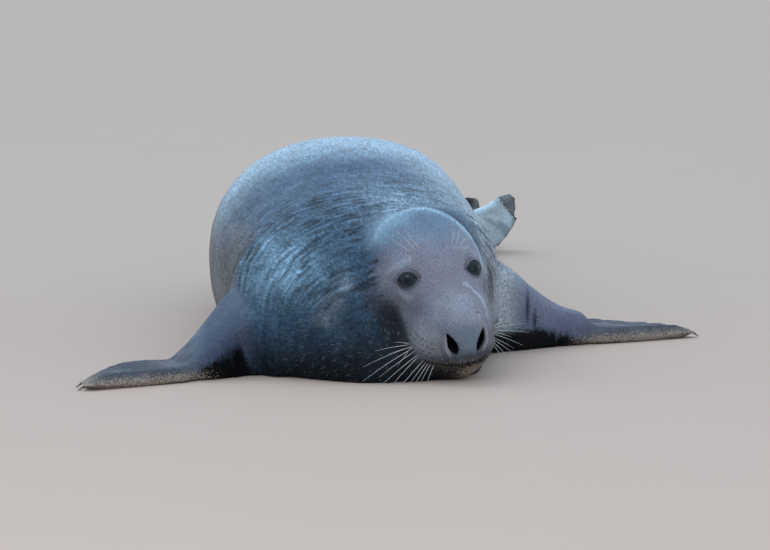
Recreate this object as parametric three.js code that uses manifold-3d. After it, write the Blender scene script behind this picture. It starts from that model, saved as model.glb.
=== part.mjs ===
// A grey seal at rest on its belly, life size, in millimetres.
// +Z is up and the face looks along -Y. The body curves: the chest is turned towards the seal's left,
// the hips swing back the same way, and the head is turned and tipped down until the chin meets the floor.
// "left" and "right" are the seal's own.

import * as THREE from 'three';
import { mergeVertices } from 'three/addons/utils/BufferGeometryUtils.js';
import Module from 'manifold-3d';

const wasm = await Module();
wasm.setup();

// ---------------------------------------------------------------- driving sizes

const GAP = 0.3; // the thin cut between neighbouring parts
const FLOOR_PRESS = 42; // how far the soft underside would reach below the floor, were it not flattened there
const FAR = 4000; // larger than the whole animal, for the half spaces that cut it

// Cross-sections of the torso from throat to tail root. x, y: where the spine passes over the floor; facing: how far
// the section is turned from facing -Y towards the seal's left, in degrees; halfWidth: from the spine to the flank;
// back: height of the back; widest: height at which the flank is widest.
const TORSO = [
  { place: 'chin fold', x: 62, y: -880, facing: 24, halfWidth: 72, back: 54, widest: 26 },
  { place: 'throat', x: 46, y: -828, facing: 25, halfWidth: 134, back: 108, widest: 46 },
  { place: 'nape', x: 6, y: -752, facing: 27, halfWidth: 196, back: 216, widest: 80 },
  { place: 'shoulders', x: -24, y: -648, facing: 27, halfWidth: 248, back: 286, widest: 108 },
  { place: 'armpits', x: -44, y: -504, facing: 16, halfWidth: 248, back: 310, widest: 126 },
  { place: 'ribs', x: -62, y: -340, facing: 8, halfWidth: 247, back: 324, widest: 132 },
  { place: 'belly', x: -69, y: -170, facing: 2, halfWidth: 246, back: 329, widest: 136 },
  { place: 'flank', x: -68, y: 10, facing: -2, halfWidth: 237, back: 319, widest: 132 },
  { place: 'loin', x: -56, y: 190, facing: -6, halfWidth: 208, back: 286, widest: 118 },
  { place: 'rump', x: -32, y: 362, facing: -11, halfWidth: 162, back: 230, widest: 94 },
  { place: 'hips', x: 4, y: 516, facing: -17, halfWidth: 112, back: 168, widest: 70 },
  { place: 'ankles', x: 48, y: 640, facing: -24, halfWidth: 76, back: 124, widest: 54 },
  { place: 'tail root', x: 88, y: 714, facing: -29, halfWidth: 50, back: 100, widest: 50 },
];
const TORSO_ROUND = { back: 2.15, belly: 2.7 }; // how square the upper and lower half of a section are; 2 is an ellipse
const TORSO_CUTS = { neck: 3.15, chest: 5.2, belly: 8.1 }; // where each part ends, counted in cross-sections

// Cross-sections of the head along its own axis, in its own frame: the origin lies between the eyes, +y points
// out over the nose and +z up through the crown. axis: height of the section's middle; side, up, down: its reaches.
const HEAD = [
  { place: 'nose tip', y: 148, axis: -58, side: 33, up: 26, down: 48, roof: 2.3, floor: 1.9 },
  { place: 'nostrils', y: 132, axis: -61, side: 52, up: 37, down: 70, roof: 2.4, floor: 1.9 },
  { place: 'whisker pads', y: 104, axis: -65, side: 69, up: 48, down: 85, roof: 2.4, floor: 1.9 },
  { place: 'snout', y: 66, axis: -64, side: 71, up: 61, down: 92, roof: 2.3, floor: 1.9 },
  { place: 'snout root', y: 32, axis: -59, side: 77, up: 78, down: 100, roof: 2.15, floor: 2.0 },
  { place: 'eyes', y: 0, axis: -54, side: 88, up: 93, down: 108, roof: 2.0, floor: 2.0 },
  { place: 'temples', y: -38, axis: -48, side: 100, up: 108, down: 112, roof: 2.0, floor: 2.1 },
  { place: 'crown', y: -84, axis: -42, side: 110, up: 114, down: 118, roof: 2.05, floor: 2.1 },
  { place: 'occiput', y: -134, axis: -40, side: 118, up: 86, down: 120, roof: 2.1, floor: 2.1 },
  { place: 'neck joint', y: -190, axis: -44, side: 130, up: 62, down: 118, roof: 2.1, floor: 2.1 },
];
const HEAD_POSE = { x: 88, y: -798, z: 177, yaw: 22, pitch: -25, roll: 8 }; // between the eyes; degrees
const HEAD_BACK = -118; // the head ends and the neck begins here, in the head's frame
const MOUTH = { corner: 22, height: -104, rise: 0.1, jawBack: -12 }; // the lips' line: its corner along y, height there and rise
const NOSE_PAD = { center: [0, 150, -56], reach: [44, 30, 33] }; // the bare pad round the nostrils
const NOSTRIL = { x: 23, y: 147, z: -52, long: 16, wide: 5.5, deep: 13, splay: 20 };
const EYE = { x: 53, y: 5, z: -3, radius: 21 };

// Soft forms that stand out of the head: centre, reach and height of each swelling, mirrored where x isn't 0.
const SWELLINGS = [
  { place: 'brow', x: 47, y: -6, z: 24, reach: 24, height: 7 },
  { place: 'cheekbone', x: 70, y: -6, z: -34, reach: 30, height: 5 },
  { place: 'whisker pad', x: 49, y: 112, z: -82, reach: 28, height: 7 },
  { place: 'nose bridge', x: 0, y: 92, z: -16, reach: 34, height: 5 },
  { place: 'nostril wing', x: 34, y: 138, z: -54, reach: 16, height: 6 },
];

// A flipper's paddle, in its own frame: +x out to the tips, +y to the leading edge, +z up off its back.
// lengths: the five digits from the wrist, leading edge first; lead, trail: their outer angles in degrees.
const FORE_PADDLE = {
  lengths: [196, 186, 164, 136, 106], lead: 2, trail: -9, palm: 50, root: 46,
  web: 16, ridge: 4, heel: 20, notch: 0.05, claw: 36,
};
const HIND_PADDLE = {
  lengths: [166, 174, 172, 164, 150], lead: 9, trail: -9, palm: 31, root: 40,
  web: 10, ridge: 3, heel: 18, notch: 0.02, claw: 14,
};

// Where each paddle lies: its wrist, the bearing of its middle in degrees from +x, its roll about its own length
// (0 is flat with its back up), and the arm's cross-sections from the shoulder or hip out to the palm.
const LIMBS = {
  fore_flipper_right: {
    paddle: FORE_PADDLE, mirror: true, wrist: [-350, -838, 8], bearing: 205, dip: 0, roll: 0,
    arm: [
      { x: -130, y: -630, z: 150, chord: 84, depth: 62 },
      { x: -196, y: -690, z: 128, chord: 74, depth: 48 },
      { x: -244, y: -740, z: 94, chord: 64, depth: 36 },
      { x: -284, y: -784, z: 60, chord: 56, depth: 27 },
      { x: -320, y: -818, z: 31, chord: 51, depth: 22 },
      { x: -358, y: -842, z: 15, chord: 44, depth: 16 },
    ],
  },
  fore_flipper_left: {
    paddle: FORE_PADDLE, mirror: false, wrist: [352, -390, 8], bearing: 32, dip: 0, roll: 0,
    arm: [
      { x: 130, y: -500, z: 130, chord: 84, depth: 62 },
      { x: 186, y: -464, z: 102, chord: 74, depth: 48 },
      { x: 232, y: -438, z: 74, chord: 64, depth: 36 },
      { x: 278, y: -416, z: 49, chord: 56, depth: 27 },
      { x: 322, y: -402, z: 28, chord: 51, depth: 22 },
      { x: 362, y: -386, z: 15, chord: 44, depth: 16 },
    ],
  },
  hind_flipper_left: {
    paddle: HIND_PADDLE, mirror: false, wrist: [118, 772, 54], bearing: 38, dip: 0, roll: -72,
    arm: [
      { x: 38, y: 650, z: 52, chord: 40, depth: 32 },
      { x: 76, y: 706, z: 52, chord: 40, depth: 27 },
      { x: 112, y: 750, z: 53, chord: 42, depth: 22 },
      { x: 150, y: 792, z: 54, chord: 44, depth: 17 },
    ],
  },
  hind_flipper_right: {
    paddle: HIND_PADDLE, mirror: true, wrist: [70, 806, 50], bearing: 50, dip: 3, roll: 62,
    arm: [
      { x: 2, y: 664, z: 50, chord: 40, depth: 32 },
      { x: 28, y: 726, z: 51, chord: 40, depth: 27 },
      { x: 60, y: 784, z: 51, chord: 42, depth: 22 },
      { x: 96, y: 832, z: 50, chord: 44, depth: 17 },
    ],
  },
};
const TAIL = { root: [74, 686, 94], tip: [126, 792, 100], halfWidth: 30, thickness: 13 };

// ---------------------------------------------------------------- tools

const radians = THREE.MathUtils.degToRad;
const bend = (value, power) => Math.sign(value) * Math.abs(value) ** power;

// A closed skin from a surface function of (around, along), both 0 to 1; both ends have to shrink to a point
// or to a line that closes on itself.
function skin(surface, around, along) {
  const geometry = new THREE.CylinderGeometry(1, 1, 1, around, along, true);
  const { position, uv } = geometry.attributes;
  for (let i = 0; i < position.count; i++) {
    const step = Math.round(uv.getX(i) * around) % around;
    const p = surface(step / around, 1 - uv.getY(i));
    position.setXYZ(i, p.x, p.y, p.z);
  }
  geometry.deleteAttribute('normal');
  geometry.deleteAttribute('uv');
  return solid(geometry);
}

// A three.js geometry as a manifold solid with its faces pointing out.
function solid(geometry) {
  for (const name of Object.keys(geometry.attributes)) {
    if (name !== 'position') geometry.deleteAttribute(name);
  }
  const merged = mergeVertices(geometry, 1e-3);
  const index = merged.index.array;
  const kept = [];
  for (let i = 0; i < index.length; i += 3) {
    const [a, b, c] = [index[i], index[i + 1], index[i + 2]];
    if (a !== b && b !== c && c !== a) kept.push(a, b, c);
  }
  const make = (triangles) => new wasm.Manifold(new wasm.Mesh({
    numProp: 3,
    vertProperties: new Float32Array(merged.attributes.position.array),
    triVerts: new Uint32Array(triangles),
  }));
  const made = make(kept);
  if (made.volume() > 0) return made;
  for (let i = 0; i < kept.length; i += 3) [kept[i + 1], kept[i + 2]] = [kept[i + 2], kept[i + 1]];
  return make(kept);
}

// Named values of a list of cross-sections as one smooth function of t, 0 at the first and 1 at the last.
function blendSections(sections) {
  const names = Object.keys(sections[0]).filter((name) => name !== 'place');
  const curves = names.map((name) => new THREE.CatmullRomCurve3(
    sections.map((section, i) => new THREE.Vector3(i, section[name], 0)), false, 'catmullrom', 0.5));
  return (t) => {
    const clamped = THREE.MathUtils.clamp(t, 0, 1);
    return Object.fromEntries(names.map((name, k) => [name, curves[k].getPoint(clamped).y]));
  };
}

// Rounds off both ends of a tube: maps v to the place along it and to the size of the section there.
function roundEnds(v, first, last) {
  if (v < first) {
    const turn = (v / first) * Math.PI / 2;
    return { t: first * (1 - Math.cos(turn)), size: Math.sin(turn) };
  }
  if (v > 1 - last) {
    const turn = ((1 - v) / last) * Math.PI / 2;
    return { t: 1 - last * (1 - Math.cos(turn)), size: Math.max(0, Math.sin(turn)) };
  }
  return { t: v, size: 1 };
}

// The half space on the side of a plane that its normal points to.
function beyond(point, normal) {
  const box = new THREE.BoxGeometry(FAR, FAR, FAR).translate(0, 0, FAR / 2);
  const turn = new THREE.Quaternion().setFromUnitVectors(new THREE.Vector3(0, 0, 1), normal.clone().normalize());
  box.applyQuaternion(turn).translate(point.x, point.y, point.z);
  return solid(box);
}

// ---------------------------------------------------------------- torso

const torsoAt = blendSections(TORSO);

// The spine's place over the floor and the section's heading towards the tail, at t.
function spine(t) {
  const here = torsoAt(t);
  const turned = radians(here.facing);
  return { here, heading: new THREE.Vector3(-Math.sin(turned), Math.cos(turned), 0) };
}

function torso(grow = 0) {
  return skin((around, v) => {
    const { t, size } = roundEnds(v, 0.075, 0.05);
    const { here, heading } = spine(t);
    const turn = around * 2 * Math.PI;
    const upper = Math.sin(turn) >= 0;
    const power = 2 / (upper ? TORSO_ROUND.back : TORSO_ROUND.belly);
    const across = bend(Math.cos(turn), power) * (here.halfWidth + grow) * size;
    const reach = (upper ? here.back - here.widest : here.widest + FLOOR_PRESS) + grow;
    const height = here.widest + bend(Math.sin(turn), power) * reach * size;
    return new THREE.Vector3(here.x + heading.y * across, here.y - heading.x * across, height);
  }, 32, 30);
}

// The part of the torso's length from one cross-section count to another.
function torsoBetween(whole, from, to) {
  let part = whole;
  const plane = (count, side) => {
    const { here, heading } = spine(count / (TORSO.length - 1));
    const normal = heading.clone().multiplyScalar(side);
    const point = new THREE.Vector3(here.x, here.y, 0).addScaledVector(normal, GAP / 2);
    return beyond(point, normal);
  };
  if (from !== null) part = part.intersect(plane(from, 1));
  if (to !== null) part = part.intersect(plane(to, -1));
  return part;
}

// ---------------------------------------------------------------- head

const headAt = blendSections(HEAD);
const headFrame = new THREE.Matrix4().compose(
  new THREE.Vector3(HEAD_POSE.x, HEAD_POSE.y, HEAD_POSE.z),
  new THREE.Quaternion().setFromEuler(
    new THREE.Euler(radians(HEAD_POSE.pitch), radians(HEAD_POSE.roll), Math.PI + radians(HEAD_POSE.yaw), 'ZXY')),
  new THREE.Vector3(1, 1, 1));

const inHead = (x, y, z) => new THREE.Vector3(x, y, z).applyMatrix4(headFrame);
const headDirection = (x, y, z) => new THREE.Vector3(x, y, z).transformDirection(headFrame);

function swell(p, outward) {
  for (const { x, y, z, reach, height } of SWELLINGS) {
    for (const side of x === 0 ? [0] : [-1, 1]) {
      const away = (p.x - side * x) ** 2 + (p.y - y) ** 2 + (p.z - z) ** 2;
      p.addScaledVector(outward, height * Math.exp(-away / reach ** 2));
    }
  }
  return p;
}

function head(grow = 0) {
  return skin((around, v) => {
    const { t, size } = roundEnds(v, 0.07, 0.1);
    const here = headAt(t);
    const turn = around * 2 * Math.PI;
    const upper = Math.sin(turn) >= 0;
    const power = 2 / (upper ? here.roof : here.floor);
    const across = bend(Math.cos(turn), power);
    const rise = bend(Math.sin(turn), power);
    const outward = new THREE.Vector3(across, 0, rise).normalize();
    const ends = size < 1 ? (v < 0.5 ? 1 : -1) * (1 - size) * 12 : 0;
    const p = new THREE.Vector3(
      across * here.side * size,
      here.y + ends,
      here.axis + rise * (upper ? here.up : here.down) * size);
    outward.multiplyScalar(size);
    swell(p, outward);
    p.addScaledVector(outward, grow);
    return p.applyMatrix4(headFrame);
  }, 28, 24);
}

// An egg in the head's frame, leaning by an angle about the head's own axis.
function ellipsoid(center, radii, around, along, lean = 0) {
  const ball = new THREE.SphereGeometry(1, around, along).scale(...radii).rotateY(lean).translate(...center);
  return solid(ball.applyMatrix4(headFrame));
}

const nostrils = [-1, 1].map((side) => ellipsoid(
  [side * NOSTRIL.x, NOSTRIL.y, NOSTRIL.z],
  [NOSTRIL.wide, NOSTRIL.deep, NOSTRIL.long], 10, 8, side * radians(NOSTRIL.splay)));

function eyeball(side, radius) {
  const ball = new THREE.SphereGeometry(radius, 14, 9).translate(side * EYE.x, EYE.y, EYE.z);
  return solid(ball.applyMatrix4(headFrame));
}

// ---------------------------------------------------------------- flippers and tail

// A tube of oval sections along a list of places, with its sections' long side along a given direction.
function limb(sections, lead, grow = 0) {
  const at = blendSections(sections);
  return skin((around, v) => {
    const { t, size } = roundEnds(v, 0.12, 0.16);
    const [before, here, after] = [t - 0.01, t, t + 0.01].map(at);
    const along = new THREE.Vector3(after.x - before.x, after.y - before.y, after.z - before.z).normalize();
    const chord = lead.clone().addScaledVector(along, -lead.dot(along)).normalize();
    const up = new THREE.Vector3().crossVectors(along, chord);
    const turn = around * 2 * Math.PI;
    return new THREE.Vector3(here.x, here.y, here.z)
      .addScaledVector(chord, Math.cos(turn) * (here.chord + grow) * size)
      .addScaledVector(up, Math.sin(turn) * (here.depth + grow) * size);
  }, 12, 8);
}

// Where a digit's line runs, in the paddle's frame: digit counts 0 to 4 from the leading edge.
function digitLine(paddle, digit) {
  const share = THREE.MathUtils.clamp(digit / 4, -0.12, 1.12);
  const angle = radians(THREE.MathUtils.lerp(paddle.lead, paddle.trail, share));
  const root = new THREE.Vector3(-paddle.root, paddle.palm * (1 - 2 * share) * 0.8, 0);
  const low = THREE.MathUtils.clamp(Math.floor(digit), 0, 3);
  const reach = THREE.MathUtils.lerp(paddle.lengths[low], paddle.lengths[low + 1],
    THREE.MathUtils.clamp(digit - low, 0, 1));
  const tip = new THREE.Vector3(Math.cos(angle) * reach, paddle.palm * (1 - 2 * share) + Math.sin(angle) * reach, 0);
  return { root, tip };
}

// Places across a paddle, counted in digits, with one at each digit, one on each web and one at each edge.
const ACROSS = [-0.42, 0, 0.5, 1, 1.5, 2, 2.5, 3, 3.5, 4, 4.42];

// A webbed paddle: low ridges run out along the digits, the heel is round and every edge thins to nothing.
function paddleSkin(paddle, frame) {
  const around = 2 * (ACROSS.length - 1);
  return skin((u, v) => {
    const step = Math.round(u * around);
    const side = step > around / 2 ? -1 : 1;
    const digit = ACROSS[Math.min(step, around - step)];
    const { root, tip } = digitLine(paddle, digit);
    const between = Math.sin(Math.PI * THREE.MathUtils.clamp(digit, 0, 4)) ** 2;
    const over = Math.max(0, Math.abs(digit - 2) - 2);
    tip.lerp(root, paddle.notch * between + 0.1 * over);
    const p = root.clone().lerp(tip, v);
    p.y *= Math.sqrt(1 - (1 - Math.min(1, v * 4)) ** 2);
    const crest = (1 - between) * Math.min(1, v * 2.5);
    const thick = THREE.MathUtils.lerp(paddle.heel, paddle.web + paddle.ridge * crest, Math.min(1, v * 1.6));
    const rim = over > 0 || v === 1 ? 0 : Math.sqrt(1 - v ** 5) * Math.min(1, Math.sqrt(v * 9));
    p.z = side * thick * (side < 0 ? 0.8 : 1) * rim;
    return p.applyMatrix4(frame);
  }, around, 6);
}

function paddleFrame({ wrist, bearing, dip, roll, mirror }) {
  const turn = new THREE.Quaternion().setFromEuler(
    new THREE.Euler(radians(roll), radians(dip), radians(bearing), 'ZYX'));
  const flip = new THREE.Matrix4().makeScale(1, mirror ? 1 : -1, 1);
  return new THREE.Matrix4().compose(new THREE.Vector3(...wrist), turn, new THREE.Vector3(1, 1, 1)).multiply(flip);
}

function claw(paddle, digit, frame) {
  const { root, tip } = digitLine(paddle, digit);
  const along = tip.clone().sub(root).normalize();
  const start = tip.clone().addScaledVector(along, -paddle.claw * 0.45).setZ(paddle.web + 1);
  const end = start.clone().addScaledVector(along, paddle.claw).setZ(-2);
  const knuckle = start.clone().addScaledVector(along, paddle.claw * 0.55).setZ(paddle.web + 2);
  const line = new THREE.QuadraticBezierCurve3(start, knuckle, end);
  const across = new THREE.Vector3(-along.y, along.x, 0);
  return skin((around, v) => {
    const turn = around * 2 * Math.PI;
    const size = v === 0 || v === 1 ? 0 : Math.sin(Math.min(1, v * 4) * Math.PI / 2) * (1 - v) ** 0.6;
    return line.getPoint(v)
      .addScaledVector(across, Math.cos(turn) * 4.4 * size)
      .add(new THREE.Vector3(0, 0, Math.sin(turn) * 3.8 * size))
      .applyMatrix4(frame);
  }, 6, 4);
}

function tail() {
  const [root, tip] = [new THREE.Vector3(...TAIL.root), new THREE.Vector3(...TAIL.tip)];
  const along = tip.clone().sub(root).normalize();
  const across = new THREE.Vector3(-along.y, along.x, 0).normalize();
  const up = new THREE.Vector3().crossVectors(along, across).negate();
  return skin((around, v) => {
    const turn = around * 2 * Math.PI;
    const size = Math.sqrt(Math.sin(Math.PI * v)) * (1 - 0.35 * v);
    return root.clone().lerp(tip, v)
      .addScaledVector(across, Math.cos(turn) * TAIL.halfWidth * size)
      .addScaledVector(up, Math.sin(turn) * TAIL.thickness * size);
  }, 12, 7);
}

// ---------------------------------------------------------------- the seal

const COLOURS = {
  coat: { color: 0x4c5966, roughness: 0.6, metalness: 0 },
  face: { color: 0x5d6470, roughness: 0.6, metalness: 0 },
  flipper: { color: 0x4a4f5c, roughness: 0.55, metalness: 0 },
  nose: { color: 0x23262c, roughness: 0.4, metalness: 0 },
  eye: { color: 0x0c0d10, roughness: 0.08, metalness: 0 },
  claw: { color: 0x1d1a19, roughness: 0.45, metalness: 0 },
};
const materials = Object.fromEntries(
  Object.entries(COLOURS).map(([name, look]) => [name, new THREE.MeshStandardMaterial(look)]));

const seal = new THREE.Group();
const aboveFloor = beyond(new THREE.Vector3(0, 0, 0), new THREE.Vector3(0, 0, 1));

// Adds a part as a named mesh, cut off at the floor; crumbs that a cut leaves beside it are dropped.
function add(name, part, material) {
  const [largest] = part.intersect(aboveFloor).decompose().sort((a, b) => b.volume() - a.volume());
  const { vertProperties, triVerts, numProp } = largest.getMesh();
  const positions = new Float32Array((vertProperties.length / numProp) * 3);
  for (let i = 0; i < positions.length / 3; i++) {
    positions.set(vertProperties.subarray(i * numProp, i * numProp + 3), i * 3);
  }
  const geometry = new THREE.BufferGeometry()
    .setAttribute('position', new THREE.BufferAttribute(positions, 3))
    .setIndex(new THREE.BufferAttribute(triVerts, 1));
  geometry.computeVertexNormals();
  const mesh = new THREE.Mesh(geometry, materials[material]);
  mesh.name = name;
  seal.add(mesh);
}

const wholeTorso = torso();
const wholeHead = head();
const headAhead = beyond(inHead(0, HEAD_BACK, 0), headDirection(0, 1, 0));
const headRoom = head(GAP).intersect(beyond(inHead(0, HEAD_BACK - GAP, 0), headDirection(0, 1, 0)));
const bodySolid = wholeTorso.add(wholeHead.subtract(headAhead)).subtract(headRoom);

// Head, snout, lower jaw and nose pad.
let skull = wholeHead.intersect(headAhead);
for (const nostril of nostrils) skull = skull.subtract(nostril);
for (const side of [-1, 1]) skull = skull.subtract(eyeball(side, EYE.radius + GAP));
const mouthNormal = headDirection(0, MOUTH.rise, -1);
const belowMouth = beyond(inHead(0, MOUTH.corner, MOUTH.height), mouthNormal);
const aheadOfJaw = beyond(inHead(0, MOUTH.jawBack, 0), headDirection(0, 1, 0));
const lowerMouth = beyond(inHead(0, MOUTH.corner, MOUTH.height - GAP), mouthNormal);
const behindGap = beyond(inHead(0, MOUTH.jawBack + GAP, 0), headDirection(0, 1, 0));
const nosePad = (grow) => ellipsoid(NOSE_PAD.center, NOSE_PAD.reach.map((reach) => reach + grow), 16, 10);
const upperHead = skull.subtract(belowMouth.intersect(aheadOfJaw));
add('head', upperHead.subtract(nosePad(GAP)), 'face');
add('nose', upperHead.intersect(nosePad(0)), 'nose');
add('lower_jaw', skull.intersect(lowerMouth).intersect(behindGap), 'face');
add('eye_left', eyeball(-1, EYE.radius), 'eye');
add('eye_right', eyeball(1, EYE.radius), 'eye');

// Torso parts.
add('neck', torsoBetween(bodySolid, null, TORSO_CUTS.neck), 'coat');
add('chest', torsoBetween(bodySolid, TORSO_CUTS.neck, TORSO_CUTS.chest), 'coat');
add('belly', torsoBetween(bodySolid, TORSO_CUTS.chest, TORSO_CUTS.belly), 'coat');
add('hips', torsoBetween(bodySolid, TORSO_CUTS.belly, null), 'coat');

// Limbs stand on the torso, each cut back from it and from those already placed.
let taken = torso(GAP);
for (const [name, spec] of Object.entries(LIMBS)) {
  const frame = paddleFrame(spec);
  const lead = new THREE.Vector3(0, 1, 0).transformDirection(frame);
  let flesh = limb(spec.arm, lead).add(paddleSkin(spec.paddle, frame)).subtract(taken);
  spec.paddle.lengths.forEach((_, digit) => {
    const horn = claw(spec.paddle, digit, frame);
    flesh = flesh.subtract(horn);
    add(name.replace('flipper', 'claw') + '_' + (digit + 1), horn, 'claw');
  });
  add(name, flesh, 'flipper');
  const { palm, web, heel } = spec.paddle;
  const grown = { ...spec.paddle, palm: palm + GAP, web: web + GAP, heel: heel + GAP };
  taken = taken.add(limb(spec.arm, lead, GAP)).add(paddleSkin(grown, frame));
}
add('tail', tail().subtract(taken), 'coat');

// The origin lies on the floor under the middle of the whole animal.
const middle = new THREE.Box3().setFromObject(seal).getCenter(new THREE.Vector3());
seal.children.forEach((mesh) => mesh.geometry.translate(-middle.x, -middle.y, 0));

export default seal;
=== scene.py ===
"""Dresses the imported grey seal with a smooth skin, a short coat, eyes, whiskers and claws, in a plain studio.

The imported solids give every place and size. The skin is made from the flesh nodes and sculpted, finest on the
face. The coat, whiskers and claws grow from that skin. All lengths are metres.
"""

from __future__ import annotations

import logging
import math
from contextlib import contextmanager
from dataclasses import dataclass, field
from enum import Enum
from typing import Iterable, Iterator, Sequence

import bmesh
import bpy
import numpy as np
from mathutils import Matrix, Vector
from mathutils.bvhtree import BVHTree


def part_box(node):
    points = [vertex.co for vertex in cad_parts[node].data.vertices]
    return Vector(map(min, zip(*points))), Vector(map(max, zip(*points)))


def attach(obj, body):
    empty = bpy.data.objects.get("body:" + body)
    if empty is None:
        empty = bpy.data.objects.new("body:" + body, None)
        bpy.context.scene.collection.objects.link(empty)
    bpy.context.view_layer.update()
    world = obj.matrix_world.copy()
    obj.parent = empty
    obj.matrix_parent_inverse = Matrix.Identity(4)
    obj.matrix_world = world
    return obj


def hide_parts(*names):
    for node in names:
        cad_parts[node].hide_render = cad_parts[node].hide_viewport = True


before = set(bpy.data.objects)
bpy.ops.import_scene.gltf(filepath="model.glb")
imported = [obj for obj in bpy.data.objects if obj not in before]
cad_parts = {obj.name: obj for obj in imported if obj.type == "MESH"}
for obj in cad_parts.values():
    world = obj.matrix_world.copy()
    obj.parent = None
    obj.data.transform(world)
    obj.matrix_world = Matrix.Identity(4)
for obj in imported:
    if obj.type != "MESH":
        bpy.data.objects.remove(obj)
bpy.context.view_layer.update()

LOG = logging.getLogger("grey_seal")
MM = 0.001
BODY = "root"
BAKE_MAP = "OFBake"
DIGITS = range(1, 6)
Colour = tuple[float, float, float]
Point = tuple[float, float, float]


class Slot(Enum):
    """The record's material slots."""

    COAT = "coat"
    FACE = "face"
    NOSE = "nose"
    EYE = "eye"
    CLAW = "claw"


class Side(Enum):
    """The seal's own sides, as the sign of x in the head's frame."""

    RIGHT = 1
    LEFT = -1

    @property
    def word(self) -> str:
        """The side's name as the nodes spell it."""
        return self.name.lower()


class Flesh(Enum):
    """Groups of flesh nodes that share a finish and a lie of the hair."""

    HEAD = ("head", "nose", "lower_jaw")
    TRUNK = ("neck", "chest", "belly", "hips")
    FORE = ("fore_flipper_right", "fore_flipper_left")
    HIND = ("hind_flipper_right", "hind_flipper_left", "tail")

    @classmethod
    def nodes(cls) -> list[str]:
        """Every flesh node's name."""
        return [name for group in cls for name in group.value]


# ---------------------------------------------------------------- arithmetic on arrays


def smoothstep(low: float, high: float, value: np.ndarray) -> np.ndarray:
    """A smooth step of value from 0 at low to 1 at high; low may be the larger."""
    share = np.clip((value - low) / (high - low), 0.0, 1.0)
    return share * share * (3.0 - 2.0 * share)


def bell(away: np.ndarray, reach: float | np.ndarray) -> np.ndarray:
    """A bump of height 1 that fades over the given reach."""
    return np.exp(-((away / reach) ** 2))


def distance(points: np.ndarray, place: Sequence[float]) -> np.ndarray:
    """How far each point lies from a place."""
    return np.linalg.norm(points - np.array(place), axis=1)


def spread(points: np.ndarray, middle: Sequence[float], reach: Sequence[float]) -> np.ndarray:
    """How far points lie from a middle, in shares of a reach along each axis."""
    return np.linalg.norm((points - np.array(middle)) / np.array(reach), axis=1)


def lump(points: np.ndarray, middle: Sequence[float], reach: Sequence[float]) -> np.ndarray:
    """A soft lump of height 1 that fades over a reach along each axis."""
    return np.exp(-(((points - np.array(middle)) / np.array(reach)) ** 2).sum(1))


def mirrored(place: Sequence[float], both: bool) -> list[np.ndarray]:
    """The place and, if both sides have it, its mirror image across the head."""
    return [np.array(place) * (sign, 1.0, 1.0) for sign in ((1.0, -1.0) if both else (1.0,))]


def unit(vectors: np.ndarray) -> np.ndarray:
    """The vectors at length 1, with zero vectors left alone."""
    length = np.linalg.norm(vectors, axis=-1, keepdims=True)
    return vectors / np.maximum(length, 1e-12)


def tangential(vectors: np.ndarray, normals: np.ndarray) -> np.ndarray:
    """The parts of the vectors that lie along the surface, at length 1."""
    return unit(vectors - normals * (vectors * normals).sum(1, keepdims=True))


def nearest_on(line: Sequence[Sequence[float]], points: np.ndarray) -> tuple[np.ndarray, np.ndarray]:
    """How far each place lies from a line through the given corners, and the nearest place on that line."""
    corners = np.array(line)
    away, found = np.full(len(points), np.inf), np.zeros_like(points)
    for one, way in zip(corners[:-1], np.diff(corners, axis=0)):
        share = np.clip((points - one) @ way / (way @ way), 0.0, 1.0)
        nearest = one + share[:, None] * way
        gap = np.linalg.norm(points - nearest, axis=1)
        closer = gap < away
        away[closer], found[closer] = gap[closer], nearest[closer]
    return away, found


def lattice(cells: np.ndarray, seed: int) -> np.ndarray:
    """A fixed random number from 0 to 1 for each whole-number cell."""
    x, y, z = (cells[:, axis].astype(np.int64) & 0xFFFFFFFF for axis in range(3))
    mixed = (x * 73856093) ^ (y * 19349663) ^ (z * 83492791) ^ (seed * 2654435761)
    mixed = (mixed ^ (mixed >> 13)) & 0xFFFFFFFF
    mixed = (mixed * 1274126177) & 0xFFFFFFFF
    return ((mixed >> 7) & 0xFFFF) / 65535.0


def noise(points: np.ndarray, seed: int = 0) -> np.ndarray:
    """Smooth random values from 0 to 1 whose features are one unit across.

    Args:
        points: places as rows of three numbers, already scaled to the size of the features.
        seed: which of many patterns to read.

    Returns:
        One value for each place.
    """
    base = np.floor(points)
    part = points - base
    part = part * part * (3.0 - 2.0 * part)
    total = np.zeros(len(points))
    for corner in np.ndindex(2, 2, 2):
        weight = np.prod(np.where(np.array(corner) == 1, part, 1.0 - part), axis=1)
        total += weight * lattice(base + np.array(corner), seed)
    return total


def layered_noise(points: np.ndarray, seed: int = 0, layers: int = 3) -> np.ndarray:
    """Noise with finer layers added, each half as tall as the last, from 0 to 1."""
    shares = [0.5**layer for layer in range(layers)]
    summed = sum(share * noise(points * 2.0**layer, seed + layer) for layer, share in enumerate(shares))
    return summed / sum(shares)


# ---------------------------------------------------------------- the head's and trunk's own frames


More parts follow.
